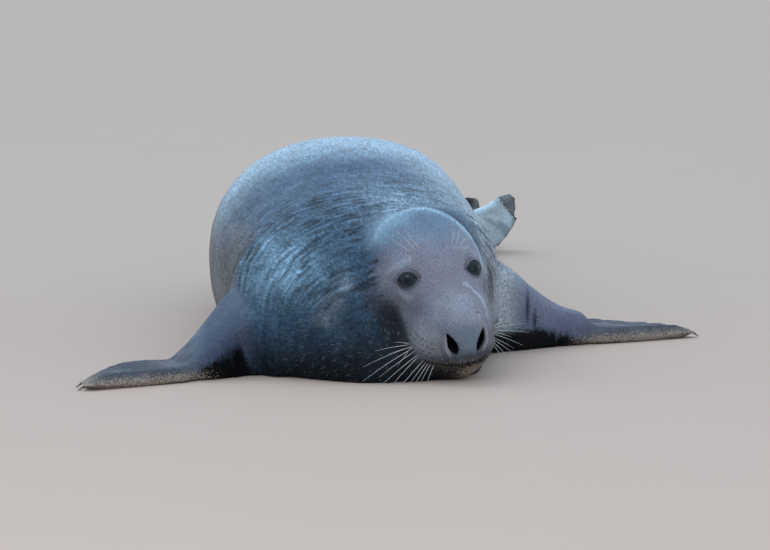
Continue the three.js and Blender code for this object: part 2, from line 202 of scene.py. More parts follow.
@dataclass(frozen=True)
class HeadFrame:
    """The head's own frame: its origin lies between the eyes, +y over the nose and +z through the crown.

    It is turned about z first, then about x and last about y, as the solids' head is.

    Attributes:
        place: the origin, as a place of the part.
        yaw: the turn about z, in degrees.
        pitch: the turn about x, in degrees.
        roll: the turn about y, in degrees.
    """

    place: Point = (0.0686, -0.786, 0.177)
    yaw: float = 202.0
    pitch: float = -25.0
    roll: float = 8.0

    def turn(self) -> np.ndarray:
        """The frame's axes as the columns of a matrix."""
        turns = ((self.yaw, "Z"), (self.pitch, "X"), (self.roll, "Y"))
        yaw, pitch, roll = (Matrix.Rotation(math.radians(angle), 3, axis) for angle, axis in turns)
        return np.array(yaw @ pitch @ roll)

    def inside(self, points: np.ndarray) -> np.ndarray:
        """Places of the part as places in the head's frame."""
        return (points - np.array(self.place)) @ self.turn()

    def outside(self, points: np.ndarray) -> np.ndarray:
        """Places in the head's frame as places of the part."""
        return self.directions(points) + np.array(self.place)

    def directions(self, vectors: np.ndarray) -> np.ndarray:
        """Directions in the head's frame as directions of the part."""
        return vectors @ self.turn().T


HEAD = HeadFrame()


@dataclass(frozen=True)
class Spine:
    """The trunk's middle line over the floor, from the throat to the tail root.

    Attributes:
        stations: rows of x, y and the angle in degrees by which the section there is turned from facing -Y
            towards the seal's left.
        steps: how many places stand for the line.
    """

    stations: tuple[Point, ...] = (
        (0.043, -0.868, 24.0),
        (-0.013, -0.740, 27.0),
        (-0.043, -0.636, 27.0),
        (-0.063, -0.492, 16.0),
        (-0.088, -0.158, 2.0),
        (-0.075, 0.202, -6.0),
        (-0.015, 0.528, -17.0),
        (0.069, 0.726, -29.0),
        (0.160, 0.900, -29.0),
    )
    steps: int = 96

    def samples(self) -> tuple[np.ndarray, np.ndarray, np.ndarray]:
        """Evenly spaced places, headings towards the tail and lengths from the throat along the spine."""
        rows = np.array(self.stations)
        counts = np.linspace(0.0, len(rows) - 1, self.steps)
        place = np.stack([np.interp(counts, np.arange(len(rows)), rows[:, axis]) for axis in (0, 1)], 1)
        turned = np.radians(np.interp(counts, np.arange(len(rows)), rows[:, 2]))
        heading = np.stack([-np.sin(turned), np.cos(turned)], 1)
        length = np.concatenate([[0.0], np.cumsum(np.linalg.norm(np.diff(place, axis=0), axis=1))])
        return place, heading, length

    def straighten(self, points: np.ndarray) -> tuple[np.ndarray, np.ndarray]:
        """Places of the part as places along a straight spine.

        Returns:
            Rows of offset to the side, length along the spine and height; and the heading at each place.
        """
        place, heading, length = self.samples()
        ahead = points[:, :2] @ heading.T - (place * heading).sum(1)
        index = np.clip((ahead > 0).sum(1), 1, self.steps - 1)
        rows = np.arange(len(points))
        before, after = ahead[rows, index - 1], ahead[rows, index]
        share = np.clip(before / np.where(np.abs(before - after) < 1e-9, 1.0, before - after), -2.0, 3.0)
        along = length[index - 1] + share * (length[index] - length[index - 1])
        share = share[:, None]
        centre = place[index - 1] * (1 - share) + place[index] * share
        towards = unit(heading[index - 1] * (1 - share) + heading[index] * share)
        offset = points[:, :2] - centre
        across = offset[:, 0] * towards[:, 1] - offset[:, 1] * towards[:, 0]
        straight = np.stack([across, along, points[:, 2]], 1)
        return straight, np.concatenate([towards, np.zeros((len(points), 1))], 1)


SPINE = Spine()


# ---------------------------------------------------------------- meshes as arrays


class Surface:
    """The vertices of a mesh as arrays, with the sums over neighbours that smoothing needs."""

    def __init__(self, mesh: bpy.types.Mesh) -> None:
        """Reads the places and edges of the mesh."""
        self.mesh = mesh
        self.co = np.empty(len(mesh.vertices) * 3)
        mesh.vertices.foreach_get("co", self.co)
        self.co = self.co.reshape(-1, 3)
        pairs = np.empty(len(mesh.edges) * 2, int)
        mesh.edges.foreach_get("vertices", pairs)
        self.first, self.second = pairs.reshape(-1, 2).T
        count = len(self.co)
        self.degree = np.bincount(self.first, minlength=count) + np.bincount(self.second, minlength=count)

    def around(self, values: np.ndarray) -> np.ndarray:
        """The mean of the values at each vertex's neighbours."""
        table = values.reshape(len(self.co), -1)
        summed = np.empty_like(table)
        for column in range(table.shape[1]):
            one = np.bincount(self.first, table[self.second, column], len(self.co))
            other = np.bincount(self.second, table[self.first, column], len(self.co))
            summed[:, column] = (one + other) / np.maximum(self.degree, 1)
        return summed.reshape(values.shape)

    def diffuse(self, values: np.ndarray, rounds: int) -> np.ndarray:
        """The values after that many rounds of mixing with their neighbours."""
        for _ in range(rounds):
            values = 0.5 * values + 0.5 * self.around(values)
        return values

    def fair(self, rounds: int, weight: np.ndarray | float = 1.0, keep: float = 0.53) -> None:
        """Smooths the surface without shrinking it.

        Args:
            rounds: how often each vertex moves towards its neighbours and back.
            weight: how far each vertex takes part, from 0 to 1.
            keep: how far each second move goes back; 0 lets the surface shrink.
        """
        weight = np.asarray(weight, float)
        if weight.ndim:
            weight = weight[:, None]
        for _ in range(rounds):
            self.co += 0.5 * weight * (self.around(self.co) - self.co)
            if keep:
                self.co -= keep * weight * (self.around(self.co) - self.co)

    def write(self) -> None:
        """Puts the places back into the mesh."""
        self.mesh.vertices.foreach_set("co", self.co.astype(np.float32).ravel())
        self.mesh.update()

    def normals(self) -> np.ndarray:
        """Writes the places and returns the normals that follow from them."""
        self.write()
        found = np.empty(len(self.co) * 3, np.float32)
        self.mesh.vertex_normals.foreach_get("vector", found)
        return found.reshape(-1, 3).astype(float)

    def keep_above(self, gap: float = 0.3 * MM) -> None:
        """Lifts what lies lower than a gap over the floor."""
        self.co[:, 2] = np.maximum(self.co[:, 2], gap)

    def get(self, name: str) -> np.ndarray:
        """A number stored at each vertex."""
        values = np.empty(len(self.co), np.float32)
        self.mesh.attributes[name].data.foreach_get("value", values)
        return values.astype(float)

    def share_of(self, *names: str) -> np.ndarray:
        """How far each vertex belongs to any of these regions, from 0 to 1."""
        return np.clip(sum(self.get(name) for name in names), 0.0, 1.0)

    def vectors(self, name: str) -> np.ndarray:
        """A vector stored at each vertex."""
        values = np.empty(len(self.co) * 3, np.float32)
        self.mesh.attributes[name].data.foreach_get("vector", values)
        return values.reshape(-1, 3).astype(float)

    def put(self, name: str, values: np.ndarray) -> None:
        """Stores a number, a vector or a colour at each vertex."""
        kinds = {1: ("FLOAT", "value"), 3: ("FLOAT_VECTOR", "vector"), 4: ("FLOAT_COLOR", "color")}
        table = values.reshape(len(self.co), -1).astype(np.float32)
        kind, key = kinds[table.shape[1]]
        layer = self.mesh.attributes.get(name) or self.mesh.attributes.new(name, kind, "POINT")
        layer.data.foreach_set(key, table.ravel())


def new_object(name: str, data: bpy.types.ID) -> bpy.types.Object:
    """Links a new object that shows a mesh, a curve, a light or a camera."""
    made = bpy.data.objects.new(name, data)
    bpy.context.scene.collection.objects.link(made)
    return made


def shade_smooth(mesh: bpy.types.Mesh) -> None:
    """Turns smooth shading on for every face."""
    mesh.polygons.foreach_set("use_smooth", np.ones(len(mesh.polygons), bool))
    mesh.update()


def applied(maker: bpy.types.Object) -> bpy.types.Mesh:
    """The mesh of an object with its modifiers applied; the modifiers are removed from it."""
    graph = bpy.context.evaluated_depsgraph_get()
    result = bpy.data.meshes.new_from_object(maker.evaluated_get(graph), depsgraph=graph)
    maker.modifiers.clear()
    return result


def mesh_of(work: bmesh.types.BMesh, name: str) -> bpy.types.Mesh:
    """A new mesh of what was built in work, which is freed."""
    mesh = bpy.data.meshes.new(name)
    work.to_mesh(mesh)
    work.free()
    return mesh


@contextmanager
def edited(mesh: bpy.types.Mesh) -> Iterator[bmesh.types.BMesh]:
    """Opens a mesh for editing and puts the result back into it."""
    work = bmesh.new()
    work.from_mesh(mesh)
    yield work
    work.to_mesh(mesh)
    work.free()


def merged_copy(names: Iterable[str], grow: float = 0.0) -> bpy.types.Mesh:
    """One mesh of copies of CAD nodes, each closed, with their loose triangles merged.

    Args:
        names: the nodes to copy.
        grow: how far each copy's surface moves out.

    Returns:
        A new mesh.
    """
    work = bmesh.new()
    for name in names:
        work.from_mesh(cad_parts[name].data)
    bmesh.ops.remove_doubles(work, verts=work.verts, dist=0.01 * MM)
    work.normal_update()
    if grow:
        moved = [vertex.co + vertex.normal * grow for vertex in work.verts]
        for vertex, place in zip(work.verts, moved):
            vertex.co = place
    return mesh_of(work, "copied_solids")


def centre_of(node: str) -> Vector:
    """The middle of a node's box."""
    low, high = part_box(node)
    return (low + high) / 2


def from_claws(points: np.ndarray) -> np.ndarray:
    """How far each place lies from the middle of the nearest claw."""
    claws = [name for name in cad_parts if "claw" in name]
    return np.min([distance(points, centre_of(name)) for name in claws], axis=0)


def finish_piece(piece: bpy.types.Object) -> bpy.types.Object:
    """Lets a piece ride on the body and logs its triangles; returns it."""
    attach(piece, BODY)
    faces = sum(len(polygon.vertices) - 2 for polygon in piece.data.polygons)
    LOG.info("%s: %d triangles", piece.name, faces)
    return piece


def smooth_piece(mesh: bpy.types.Mesh, material: bpy.types.Material) -> bpy.types.Object:
    """Makes a smooth piece of one material, named as its mesh."""
    shade_smooth(mesh)
    mesh.materials.clear()
    mesh.materials.append(material)
    return finish_piece(new_object(mesh.name, mesh))


# ---------------------------------------------------------------- node trees


class NodeTree:
    """A node tree built by calls."""

    def __init__(self, tree: bpy.types.NodeTree) -> None:
        """Takes over a tree."""
        self.tree = tree

    def add(
        self,
        kind: str,
        settings: dict[str, object] | None = None,
        inputs: dict[str | int, object] | None = None,
        output: str | int = 0,
    ) -> bpy.types.NodeSocket:
        """Adds a node.

        Args:
            kind: the node's type.
            settings: its properties, set first.
            inputs: values, sockets or wires by socket name or number.
            output: the socket to return.

        Returns:
            The named output socket.
        """
        made = self.tree.nodes.new(kind)
        for key, value in (settings or {}).items():
            setattr(made, key, value)
        for key, value in (inputs or {}).items():
            source = value.socket if isinstance(value, Wire) else value
            if isinstance(source, bpy.types.NodeSocket):
                self.tree.links.new(source, made.inputs[key])
            else:
                made.inputs[key].default_value = source
        return made.outputs[output]


class Wire:
    """A shader socket that Python's operators can calculate with."""

    def __init__(self, graph: "Graph", socket: bpy.types.NodeSocket) -> None:
        """Wraps one output socket of a graph."""
        self.graph = graph
        self.socket = socket

    def _math(self, operation: str, *operands: "Wire | float") -> "Wire":
        """One Math node on the operands."""
        return self.graph.node("ShaderNodeMath", {"operation": operation}, dict(enumerate(operands)))

    def __add__(self, other: "Wire | float") -> "Wire":
        """self + other."""
        return self._math("ADD", self, other)

    __radd__ = __add__

    def __sub__(self, other: "Wire | float") -> "Wire":
        """self - other."""
        return self._math("SUBTRACT", self, other)

    def __rsub__(self, other: float) -> "Wire":
        """other - self."""
        return self._math("SUBTRACT", other, self)

    def __mul__(self, other: "Wire | float") -> "Wire":
        """self * other."""
        return self._math("MULTIPLY", self, other)

    __rmul__ = __mul__

    def step(self, low: float, high: float) -> "Wire":
        """A smooth step from 0 at low to 1 at high."""
        settings = {"interpolation_type": "SMOOTHSTEP", "clamp": True}
        inputs = {"Value": self, "From Min": low, "From Max": high, "To Min": 0.0, "To Max": 1.0}
        return self.graph.node("ShaderNodeMapRange", settings, inputs, "Result")


class Graph(NodeTree):
    """The node graph of one material."""

    def __init__(self, name: str) -> None:
        """Makes an empty material with its output node."""
        self.material = bpy.data.materials.new(name)
        self.material.use_nodes = True
        super().__init__(self.material.node_tree)
        self.tree.nodes.clear()
        self.out = self.tree.nodes.new("ShaderNodeOutputMaterial")

    def node(
        self,
        kind: str,
        settings: dict[str, object] | None = None,
        inputs: dict[str | int, object] | None = None,
        output: str | int = 0,
    ) -> Wire:
        """Adds a node, with the arguments of add, and returns one output as a wire."""
        return Wire(self, self.add(kind, settings, inputs, output))

    def attribute(self, name: str, output: str = "Fac") -> Wire:
        """Reads a value stored on the mesh."""
        return self.node("ShaderNodeAttribute", {"attribute_name": name}, output=output)

    def attributes(self, *names: str) -> list[Wire]:
        """Reads several numbers stored on the mesh."""
        return [self.attribute(name) for name in names]

    def place(self) -> Wire:
        """The place on the object, in metres."""
        return self.node("ShaderNodeTexCoord", output="Object")

    def stretch(self, vector: Wire, scale: Sequence[float]) -> Wire:
        """A vector times a scale for each axis."""
        return self.node("ShaderNodeVectorMath", {"operation": "MULTIPLY"}, {0: vector, 1: scale}, "Vector")

    def scaled(self, colour: Wire, times: Wire) -> Wire:
        """A colour made brighter or darker by a number."""
        inputs = {0: colour, "Scale": times}
        return self.node("ShaderNodeVectorMath", {"operation": "SCALE"}, inputs, "Vector")

    def noise(self, vector: Wire, scale: float, detail: float = 2.0, bent: float = 0.0) -> Wire:
        """Noise from 0 to 1 at a scale in features per metre."""
        inputs = {"Vector": vector, "Scale": scale, "Detail": detail, "Distortion": bent}
        return self.node("ShaderNodeTexNoise", {"noise_dimensions": "3D"}, inputs, "Fac")

    def mix(self, share: Wire | float, one: Wire | Colour, other: Wire | Colour) -> Wire:
        """A colour between one at share 0 and other at share 1."""
        first, second = ((*colour, 1.0) if isinstance(colour, tuple) else colour for colour in (one, other))
        return self.node("ShaderNodeMix", {"data_type": "RGBA"}, {0: share, 6: first, 7: second}, 2)

    def blend(self, share: Wire, one: Wire, other: Wire) -> Wire:
        """A number between one at share 0 and other at share 1."""
        return one + (other - one) * share

    def bump(self, height: Wire, depth: float, strength: float) -> Wire:
        """A normal bent by a height field whose full height is the depth."""
        inputs = {"Strength": strength, "Distance": depth, "Height": height}
        return self.node("ShaderNodeBump", {}, inputs, "Normal")

    def surface(self, **sockets: Wire | float) -> bpy.types.Material:
        """Ends the graph in a Principled shader with these sockets; underscores stand for spaces."""
        inputs = {name.replace("_", " "): value for name, value in sockets.items()}
        shader = self.node("ShaderNodeBsdfPrincipled", {}, inputs, "BSDF")
        self.tree.links.new(shader.socket, self.out.inputs["Surface"])
        return self.material


# ---------------------------------------------------------------- finishes


@dataclass(frozen=True)
class CoatFinish:
    """Damp short fur: its colours are painted on the mesh, and the grain is cut here.

    Attributes:
        grain_scale: hairs per metre across the grain.
        grain_length: how much longer than wide the grain is.
        fold_scale: wrinkles of the neck per metre.
        roughness: the roughness of dry hair.
        coat_roughness: the roughness of the wet film.
        specular: how strongly the hair itself reflects.
        scratched: the colour of the scratches.
        wet_sand: the darkest grain of sand.
        dry_sand: the lightest one.
    """

    grain_scale: float = 260.0
    grain_length: float = 9.0
    fold_scale: float = 70.0
    roughness: float = 0.46
    coat_roughness: float = 0.24
    specular: float = 0.09
    scratched: Colour = (0.21, 0.23, 0.235)
    wet_sand: Colour = (0.20, 0.150, 0.115)
    dry_sand: Colour = (0.50, 0.405, 0.33)

    def build(self, name: str) -> bpy.types.Material:
        """Makes the material.

        Args:
            name: the material's name.

        Returns:
            A material that reads tint, straight, muzzle, head, bare, folds, scratch, dust, stroke and wet.
        """
        graph = Graph(name)
        tint = graph.attribute("tint", "Color")
        trunk = graph.attribute("straight", "Vector")
        muzzle = graph.attribute("muzzle", "Vector")
        head, bare, folds, scratch = graph.attributes("head", "bare", "folds", "scratch")
        dust, wet, stroke = graph.attributes("dust", "wet", "stroke")
        place = graph.place()

        thin = 1.0 / self.grain_length
        trunk_grain = graph.noise(graph.stretch(trunk, (1.0, thin, 1.0)), self.grain_scale, 2.0, 0.4)
        head_grain = graph.noise(graph.stretch(muzzle, (1.0, thin * 2.0, 1.0)), self.grain_scale * 2.0, 2.0)
        limb_grain = graph.noise(place, self.grain_scale * 1.4, 3.0)
        grain = graph.blend(bare, graph.blend(head, trunk_grain, head_grain), limb_grain)

        ripples = graph.noise(graph.stretch(trunk, (0.16, 1.0, 0.16)), self.fold_scale * 2.3, 3.0, 0.5)
        cloud = graph.noise(place, 13.0, 3.0, 0.4)
        speckle = graph.noise(place, 420.0, 2.0)

        dark_hairs = (1.0 - grain).step(0.42, 0.78) * (0.42 - 0.15 * head)
        light_hairs = grain.step(0.46, 0.76) * (0.42 - 0.20 * head) * (1.0 - bare)
        # painted shade in the hollows of the neck's wrinkles, and painted glints on each crest
        trough_shade = (1.0 - ripples).step(0.44, 0.66) * folds * 0.72
        crest_glints = ripples.step(0.56, 0.72) * folds
        tone = 0.90 + 0.22 * cloud.step(0.35, 0.75) + light_hairs + crest_glints
        coloured = graph.scaled(tint, tone * (1.0 - dark_hairs) * (1.0 - trough_shade))
        coloured = graph.mix(stroke.step(0.80, 0.97) * (scratch * 0.40 + 0.03), coloured, self.scratched)
        sand = (graph.noise(place, 520.0, 2.0) + dust * 0.45).step(0.62, 0.74) * dust.step(0.02, 0.15)
        coloured = graph.mix(sand, coloured, graph.mix(speckle, self.wet_sand, self.dry_sand))

        height = ripples * folds * 2.4 + grain * (0.55 - 0.30 * head) + speckle * bare * 0.25 + sand * 0.8
        normal = graph.bump(height, 1.0 * MM, 0.9)
        damp = self.roughness - 0.10 * cloud.step(0.3, 0.7) + 0.10 * grain + 0.06 * head + 0.25 * dust
        return graph.surface(
            Base_Color=coloured,
            Roughness=damp,
            Normal=normal,
            Coat_Weight=wet * (0.24 + 0.16 * cloud),
            Coat_Roughness=self.coat_roughness,
            Specular_IOR_Level=self.specular,
        )


@dataclass(frozen=True)
class EyeFinish:
    """A wet dark eye: a black pupil in a grey-green iris, under a clear gloss."""

    pupil: Colour = (0.002, 0.003, 0.004)
    iris: Colour = (0.008, 0.026, 0.031)
    ray: Colour = (0.005, 0.009, 0.011)
    edge: Colour = (0.003, 0.003, 0.004)

    def build(self) -> bpy.types.Material:
        """Makes the material, which reads from the mesh each place's angle from the eye's axis."""
        graph = Graph("wet_eye")
        turn = graph.attribute("axis_turn")
        rays = graph.noise(graph.stretch(graph.attribute("ray", "Vector"), (1.0, 1.0, 0.1)), 14.0, 3.0)
        ring = graph.mix(turn.step(0.20, 0.34), self.pupil, self.iris)
        ring = graph.mix(rays.step(0.35, 0.7) * 0.5, ring, self.ray)
        colour = graph.mix(turn.step(0.50, 0.66), ring, self.edge)
        return graph.surface(
            Base_Color=colour, Roughness=0.15, Coat_Weight=0.30, Coat_Roughness=0.03, Specular_IOR_Level=0.1
        )


@dataclass(frozen=True)
class HornFinish:
    """Claws: dark horn with fine lines along it and a worn, paler tip."""

    root: Colour = (0.020, 0.018, 0.018)
    tip: Colour = (0.085, 0.070, 0.058)

    def build(self) -> bpy.types.Material:
        """Makes the material, which reads the share of the claw's length from the mesh."""
        graph = Graph("claw_horn")
        share = graph.attribute("share")
        lines = graph.noise(graph.stretch(graph.place(), (1.0, 1.0, 3.0)), 900.0, 2.0)
        colour = graph.mix(share.step(0.35, 1.0) * (lines * 0.6 + 0.4), self.root, self.tip)
        normal = graph.bump(lines, 0.25 * MM, 0.7)
        return graph.surface(Base_Color=colour, Roughness=0.30 + lines * 0.25, Normal=normal)


@dataclass(frozen=True)
class HairFinish:
    """Whiskers: pale horn, darker at the root."""

    root: Colour = (0.20, 0.19, 0.18)
    tip: Colour = (0.66, 0.64, 0.60)

    def build(self) -> bpy.types.Material:
        """Makes the material, which reads the share of each whisker's length from the mesh."""
        graph = Graph("whisker_hair")
        share = graph.attribute("share")
        beads = graph.noise(graph.place(), 320.0, 1.0)
        colour = graph.mix(share.step(0.0, 0.25) * (beads * 0.4 + 0.6), self.root, self.tip)
        return graph.surface(Base_Color=colour, Roughness=0.32 + beads * 0.15)


@dataclass(frozen=True)
class LidFinish:
    """The wet black margin of the eyelids."""

    dark: Colour = (0.010, 0.010, 0.012)
    light: Colour = (0.035, 0.034, 0.038)

    def build(self) -> bpy.types.Material:
        """Makes the material."""
        graph = Graph("lid_margin")
        grain = graph.noise(graph.place(), 1500.0, 2.0)
        colour = graph.mix(grain, self.dark, self.light)
        normal = graph.bump(grain, 0.2 * MM, 0.6)
        return graph.surface(Base_Color=colour, Roughness=0.25 + grain * 0.15, Normal=normal)


# ---------------------------------------------------------------- the face's landmarks, in the head's frame


@dataclass(frozen=True)
class Eye:
    """One eye and its lids, in the head's frame.

    Attributes:
        side: which eye.
        radius: the eyeball's radius.
        gaze: where it looks, on the right side.
        half_width: half the width of the opening between the lids.
        half_height: half its height.
        corner: how pointed its corners are, from an ellipse at 0 to a lens at 1.
        lid: the lids' thickness.
    """

    side: Side
    radius: float = 20.6 * MM
    gaze: Point = (0.45, 0.72, 0.52)
    half_width: float = 15.0 * MM
    half_height: float = 11.4 * MM
    corner: float = 0.55
    lid: float = 1.3 * MM

    def centre(self) -> np.ndarray:
        """The eyeball's middle, from its solid."""
        node = np.array([centre_of(f"eye_{self.side.word}")], float)
        return HEAD.inside(node)[0]

    def axes(self) -> np.ndarray:
        """Rows of the directions across the opening, up it, and out along the gaze."""
        sign = self.side.value
        out = unit(np.array(self.gaze) * (sign, 1.0, 1.0))
        across = unit(np.array((1.0, 0.0, 0.0)) - out * out[0])
        return np.stack([across, np.cross(out, across), out])

    def opening(self, local: np.ndarray) -> tuple[np.ndarray, np.ndarray, np.ndarray]:
        """How far out of the opening places in the head's frame lie.

        Returns:
            The distance in opening sizes, 1 on its rim; the distance from the gaze axis; the height along it.
        """
        offset = (local - self.centre()) @ self.axes().T
        across, up, out = offset.T
        wide, tall = np.abs(across) / self.half_width, np.abs(up) / self.half_height
        lens = 0.5 * (tall + np.sqrt(tall**2 + 4.0 * wide**2))
        around = self.corner * lens + (1.0 - self.corner) * np.hypot(wide, tall)
        return around, np.hypot(across, up), out

    def near(self, away: np.ndarray, out: np.ndarray) -> np.ndarray:
        """Whether places this far from the gaze axis and along it lie near the eyeball."""
        return np.hypot(away, out) < 1.9 * self.radius

    def rim(self, turn: float) -> tuple[float, float]:
        """The point across and up where the opening's rim meets a ray turned by the angle."""
        wide, tall = abs(math.cos(turn)) / self.half_width, abs(math.sin(turn)) / self.half_height
        lens = 0.5 * (tall + math.sqrt(tall**2 + 4.0 * wide**2))
        reach = 1.0 / (self.corner * lens + (1.0 - self.corner) * math.hypot(wide, tall))
        return reach * math.cos(turn), reach * math.sin(turn)


@dataclass(frozen=True)
class Nostril:
    """One nostril slit, in the head's frame.

    Attributes:
        side: which nostril.
        place: the middle of the right one.
        half_length: half its length.
        half_width: half its width.
        depth: how deep it goes.
        lean: how far its top leans out, in degrees.
        squareness: the power of its outline: 2 is an ellipse, and 1 a diamond.
    """

    side: Side
    place: Point = (25.0 * MM, 146.0 * MM, -51.0 * MM)
    half_length: float = 19.5 * MM
    half_width: float = 8.0 * MM
    depth: float = 19.0 * MM
    lean: float = 21.0
    squareness: float = 1.5

    def outward(self, local: np.ndarray) -> np.ndarray:
        """How far outside the slit's middle each place lies."""
        return local[:, 0] * self.side.value - self.place[0]

    def around(self, local: np.ndarray) -> np.ndarray:
        """The distance from the slit's middle in slit sizes: 1 on its rim."""
        sign, angle = self.side.value, math.radians(self.lean)
        aside = (local[:, 0] - sign * self.place[0]) * sign
        above = local[:, 2] - self.place[2]
        along = above * math.cos(angle) + aside * math.sin(angle)
        across = aside * math.cos(angle) - above * math.sin(angle)
        taper = 1.0 - 0.25 * np.clip(along / self.half_length, -1.0, 1.0)
        lengthways, sideways = np.abs(along / self.half_length), np.abs(across / (self.half_width * taper))
        return (lengthways**self.squareness + sideways**self.squareness) ** (1.0 / self.squareness)


EAR: Point = (92.0, -50.0, 5.0)


@dataclass(frozen=True)
class Face:
    """Where the features of the head lie, in its frame.

    Attributes:
        eyes: both eyes.
        nostrils: both nostrils.
        nose_middle: the middle of the bare nose pad.
        nose_reach: its half sizes.
        muzzle_tip: where the hair of the head starts from.
        middle: the middle of the face's own colour.
        reach: its half sizes.
        lips_height: the height of the mouth's corner.
        lips_corner: how far ahead of the eyes that corner lies.
        lips_rise: how much the mouth rises for each length ahead.
        crown_line: the rear border of the crown, from the right ear to the left one, in millimetres.
        ear: the right ear hole, in millimetres.
        spot: a dark spot on the left of the muzzle, in millimetres.
    """

    eyes: tuple[Eye, ...] = (Eye(Side.RIGHT), Eye(Side.LEFT))
    nostrils: tuple[Nostril, ...] = (Nostril(Side.RIGHT), Nostril(Side.LEFT))
    nose_middle: Point = (0.0, 150.0 * MM, -54.0 * MM)
    nose_reach: Point = (45.0 * MM, 32.0 * MM, 35.0 * MM)
    muzzle_tip: Point = (0.0, 165.0 * MM, -45.0 * MM)
    middle: Point = (0.0, 30.0 * MM, -20.0 * MM)
    reach: Point = (105.0 * MM, 150.0 * MM, 95.0 * MM)
    lips_height: float = -106.0 * MM
    lips_corner: float = 22.0 * MM
    lips_rise: float = 0.1
    crown_line: tuple[Point, ...] = (
        (96.0, -74.0, 16.0), (81.0, -88.0, 34.0), (66.0, -98.0, 47.0), (40.0, -104.0, 58.0),
        (9.0, -102.0, 66.0), (-14.0, -90.0, 67.0), (-38.0, -72.0, 62.0), (-60.0, -59.0, 46.0),
        (-76.0, -48.0, 27.0), (-84.0, -36.0, 8.0),
    )
    ear: Point = EAR
    spot: Point = (-33.0, 108.0, -20.0)

    def nose_pad(self, local: np.ndarray) -> np.ndarray:
        """How far places lie from the middle of the nose pad: 1 on its rim."""
        return spread(local, self.nose_middle, self.nose_reach)

    def mask(self, local: np.ndarray) -> np.ndarray:
        """How far places lie from the middle of the face: 1 on its rim."""
        return spread(local, self.middle, self.reach)

    def above_lips(self, local: np.ndarray) -> np.ndarray:
        """How far places lie above the mouth's line."""
        return local[:, 2] - (self.lips_height + self.lips_rise * (local[:, 1] - self.lips_corner))

    def past_crown(self, local: np.ndarray) -> tuple[np.ndarray, np.ndarray, np.ndarray]:
        """How far places lie behind the crown's border.

        Returns:
            The distance behind it; how near to it they lie, from 0 to 1; how soft it is there, from 0 to 1.
        """
        away, nearest = nearest_on(np.array(self.crown_line) * MM, local)
        past = np.linalg.norm(local, axis=1) - np.linalg.norm(nearest, axis=1)
        right_end = np.where(local[:, 0] > 0.0, smoothstep(8.0 * MM, 42.0 * MM, local[:, 2]), 1.0)
        soft = smoothstep(5.0 * MM, 45.0 * MM, local[:, 0])
        return past, smoothstep(62.0 * MM, 34.0 * MM, away) * right_end, soft


@dataclass(frozen=True)
class Relief:
    """A soft swelling or dent of the head, in millimetres of the head's frame.

    Attributes:
        place: its middle.
        reach: how far it fades along x, y and z.
        height: how far it stands out at its middle; a dent is negative.
        both: whether the other side of the head has it too.
    """

    place: Point
    reach: Point
    height: float
    both: bool = True

    def lift(self, local: np.ndarray) -> np.ndarray:
        """How far it moves each place out, in metres."""
        places = mirrored(self.place, self.both)
        return sum(self.height * MM * lump(local / MM, place, self.reach) for place in places)


RELIEFS = (
    Relief(EAR, (4.5, 4.5, 4.5), -6.0),
    Relief((92, -42, 9), (7.0, 6.0, 6.0), 2.4),
    Relief((88, -58, -2), (8.0, 5.0, 8.0), 1.5),
    Relief((35, -4, 39), (9.0, 7.0, 6.0), 1.5),
    Relief((56, -2, 27), (15.0, 10.0, 6.0), 1.8),
    Relief((70, 25, -22), (16.0, 10.0, 5.0), 1.6),
    Relief((66, 30, -31), (16.0, 12.0, 3.5), -1.4),
    Relief((94, 34, -48), (22.0, 30.0, 20.0), -5.0),
    Relief((64, 110, -70), (18.0, 30.0, 20.0), 3.5, False),
    Relief((78, 94, -72), (12.0, 24.0, 18.0), 5.0, False),
    Relief((-63, 122, -60), (20.0, 34.0, 34.0), -8.0, False),
    Relief((101, 80, -80), (11.0, 40.0, 28.0), -6.0),
    Relief((34, 128, -84), (20.0, 20.0, 10.0), 2.0),
    Relief((36, 70, -2), (7.0, 36.0, 9.0), 2.2),
    Relief((-50, 84, -24), (8.0, 34.0, 12.0), 2.0, False),
    Relief((0, 75, 0), (14.0, 40.0, 14.0), -1.2, False),
    Relief((0, -5, 20), (10.0, 20.0, 25.0), -1.5, False),
)


@dataclass(frozen=True)
class Marking:
    """A soft patch of colour.

    Attributes:
        place: its middle.
        reach: how far it fades along x, y and z.
        colour: what it turns the coat to.
        strength: how far, at its middle.
        on_head: whether the place is in the head's frame.
        both: whether it is mirrored to the other side of the head.
        rough: how much noise breaks its edge.
    """

    place: Point
    reach: Point
    colour: Colour
    strength: float = 1.0
    on_head: bool = False
    both: bool = False
    rough: float = 0.5

    def weight(self, points: np.ndarray, local: np.ndarray) -> np.ndarray:
        """How strongly the patch shows at each place."""
        where = local if self.on_head else points
        lumps = [lump(where, place, self.reach) for place in mirrored(self.place, self.both)]
        total = np.max(lumps, axis=0)
        broken = layered_noise(points / (0.6 * min(self.reach)), 11)
        return np.clip(total * (1.0 + self.rough * (broken - 0.5) * 2.0), 0.0, 1.0) * self.strength


@dataclass(frozen=True)
class Line:
    """A soft line of colour on the head.

    Attributes:
        reach: how far it fades.
        colour: what it turns the coat to.
        strength: how far, on the line itself.
        corners: the line's corners in the head's frame, in millimetres.
    """

    reach: float
    colour: Colour
    strength: float
    corners: tuple[Point, ...]

    def weight(self, local: np.ndarray) -> np.ndarray:
        """How strongly the line shows at each place of the head's frame."""
        return bell(nearest_on(np.array(self.corners) * MM, local)[0], self.reach) * self.strength


@dataclass(frozen=True)
class Crease:
    """A crease of the skin at the root of the left arm.

    Attributes:
        place: its middle.
        half_height: how far it fades up and down.
        half_length: how far it fades along the body.
    """

    place: Point
    half_height: float
    half_length: float = 70.0 * MM

    def weight(self, points: np.ndarray, half_width: float) -> np.ndarray:
        """How strongly the crease shows at each place, from 0 to 1."""
        return lump(points, self.place, (half_width, self.half_length, self.half_height))


ARM_CREASES = (Crease((0.2275, -0.49, 0.074), 30.0 * MM), Crease((0.2400, -0.48, 0.050), 18.0 * MM))


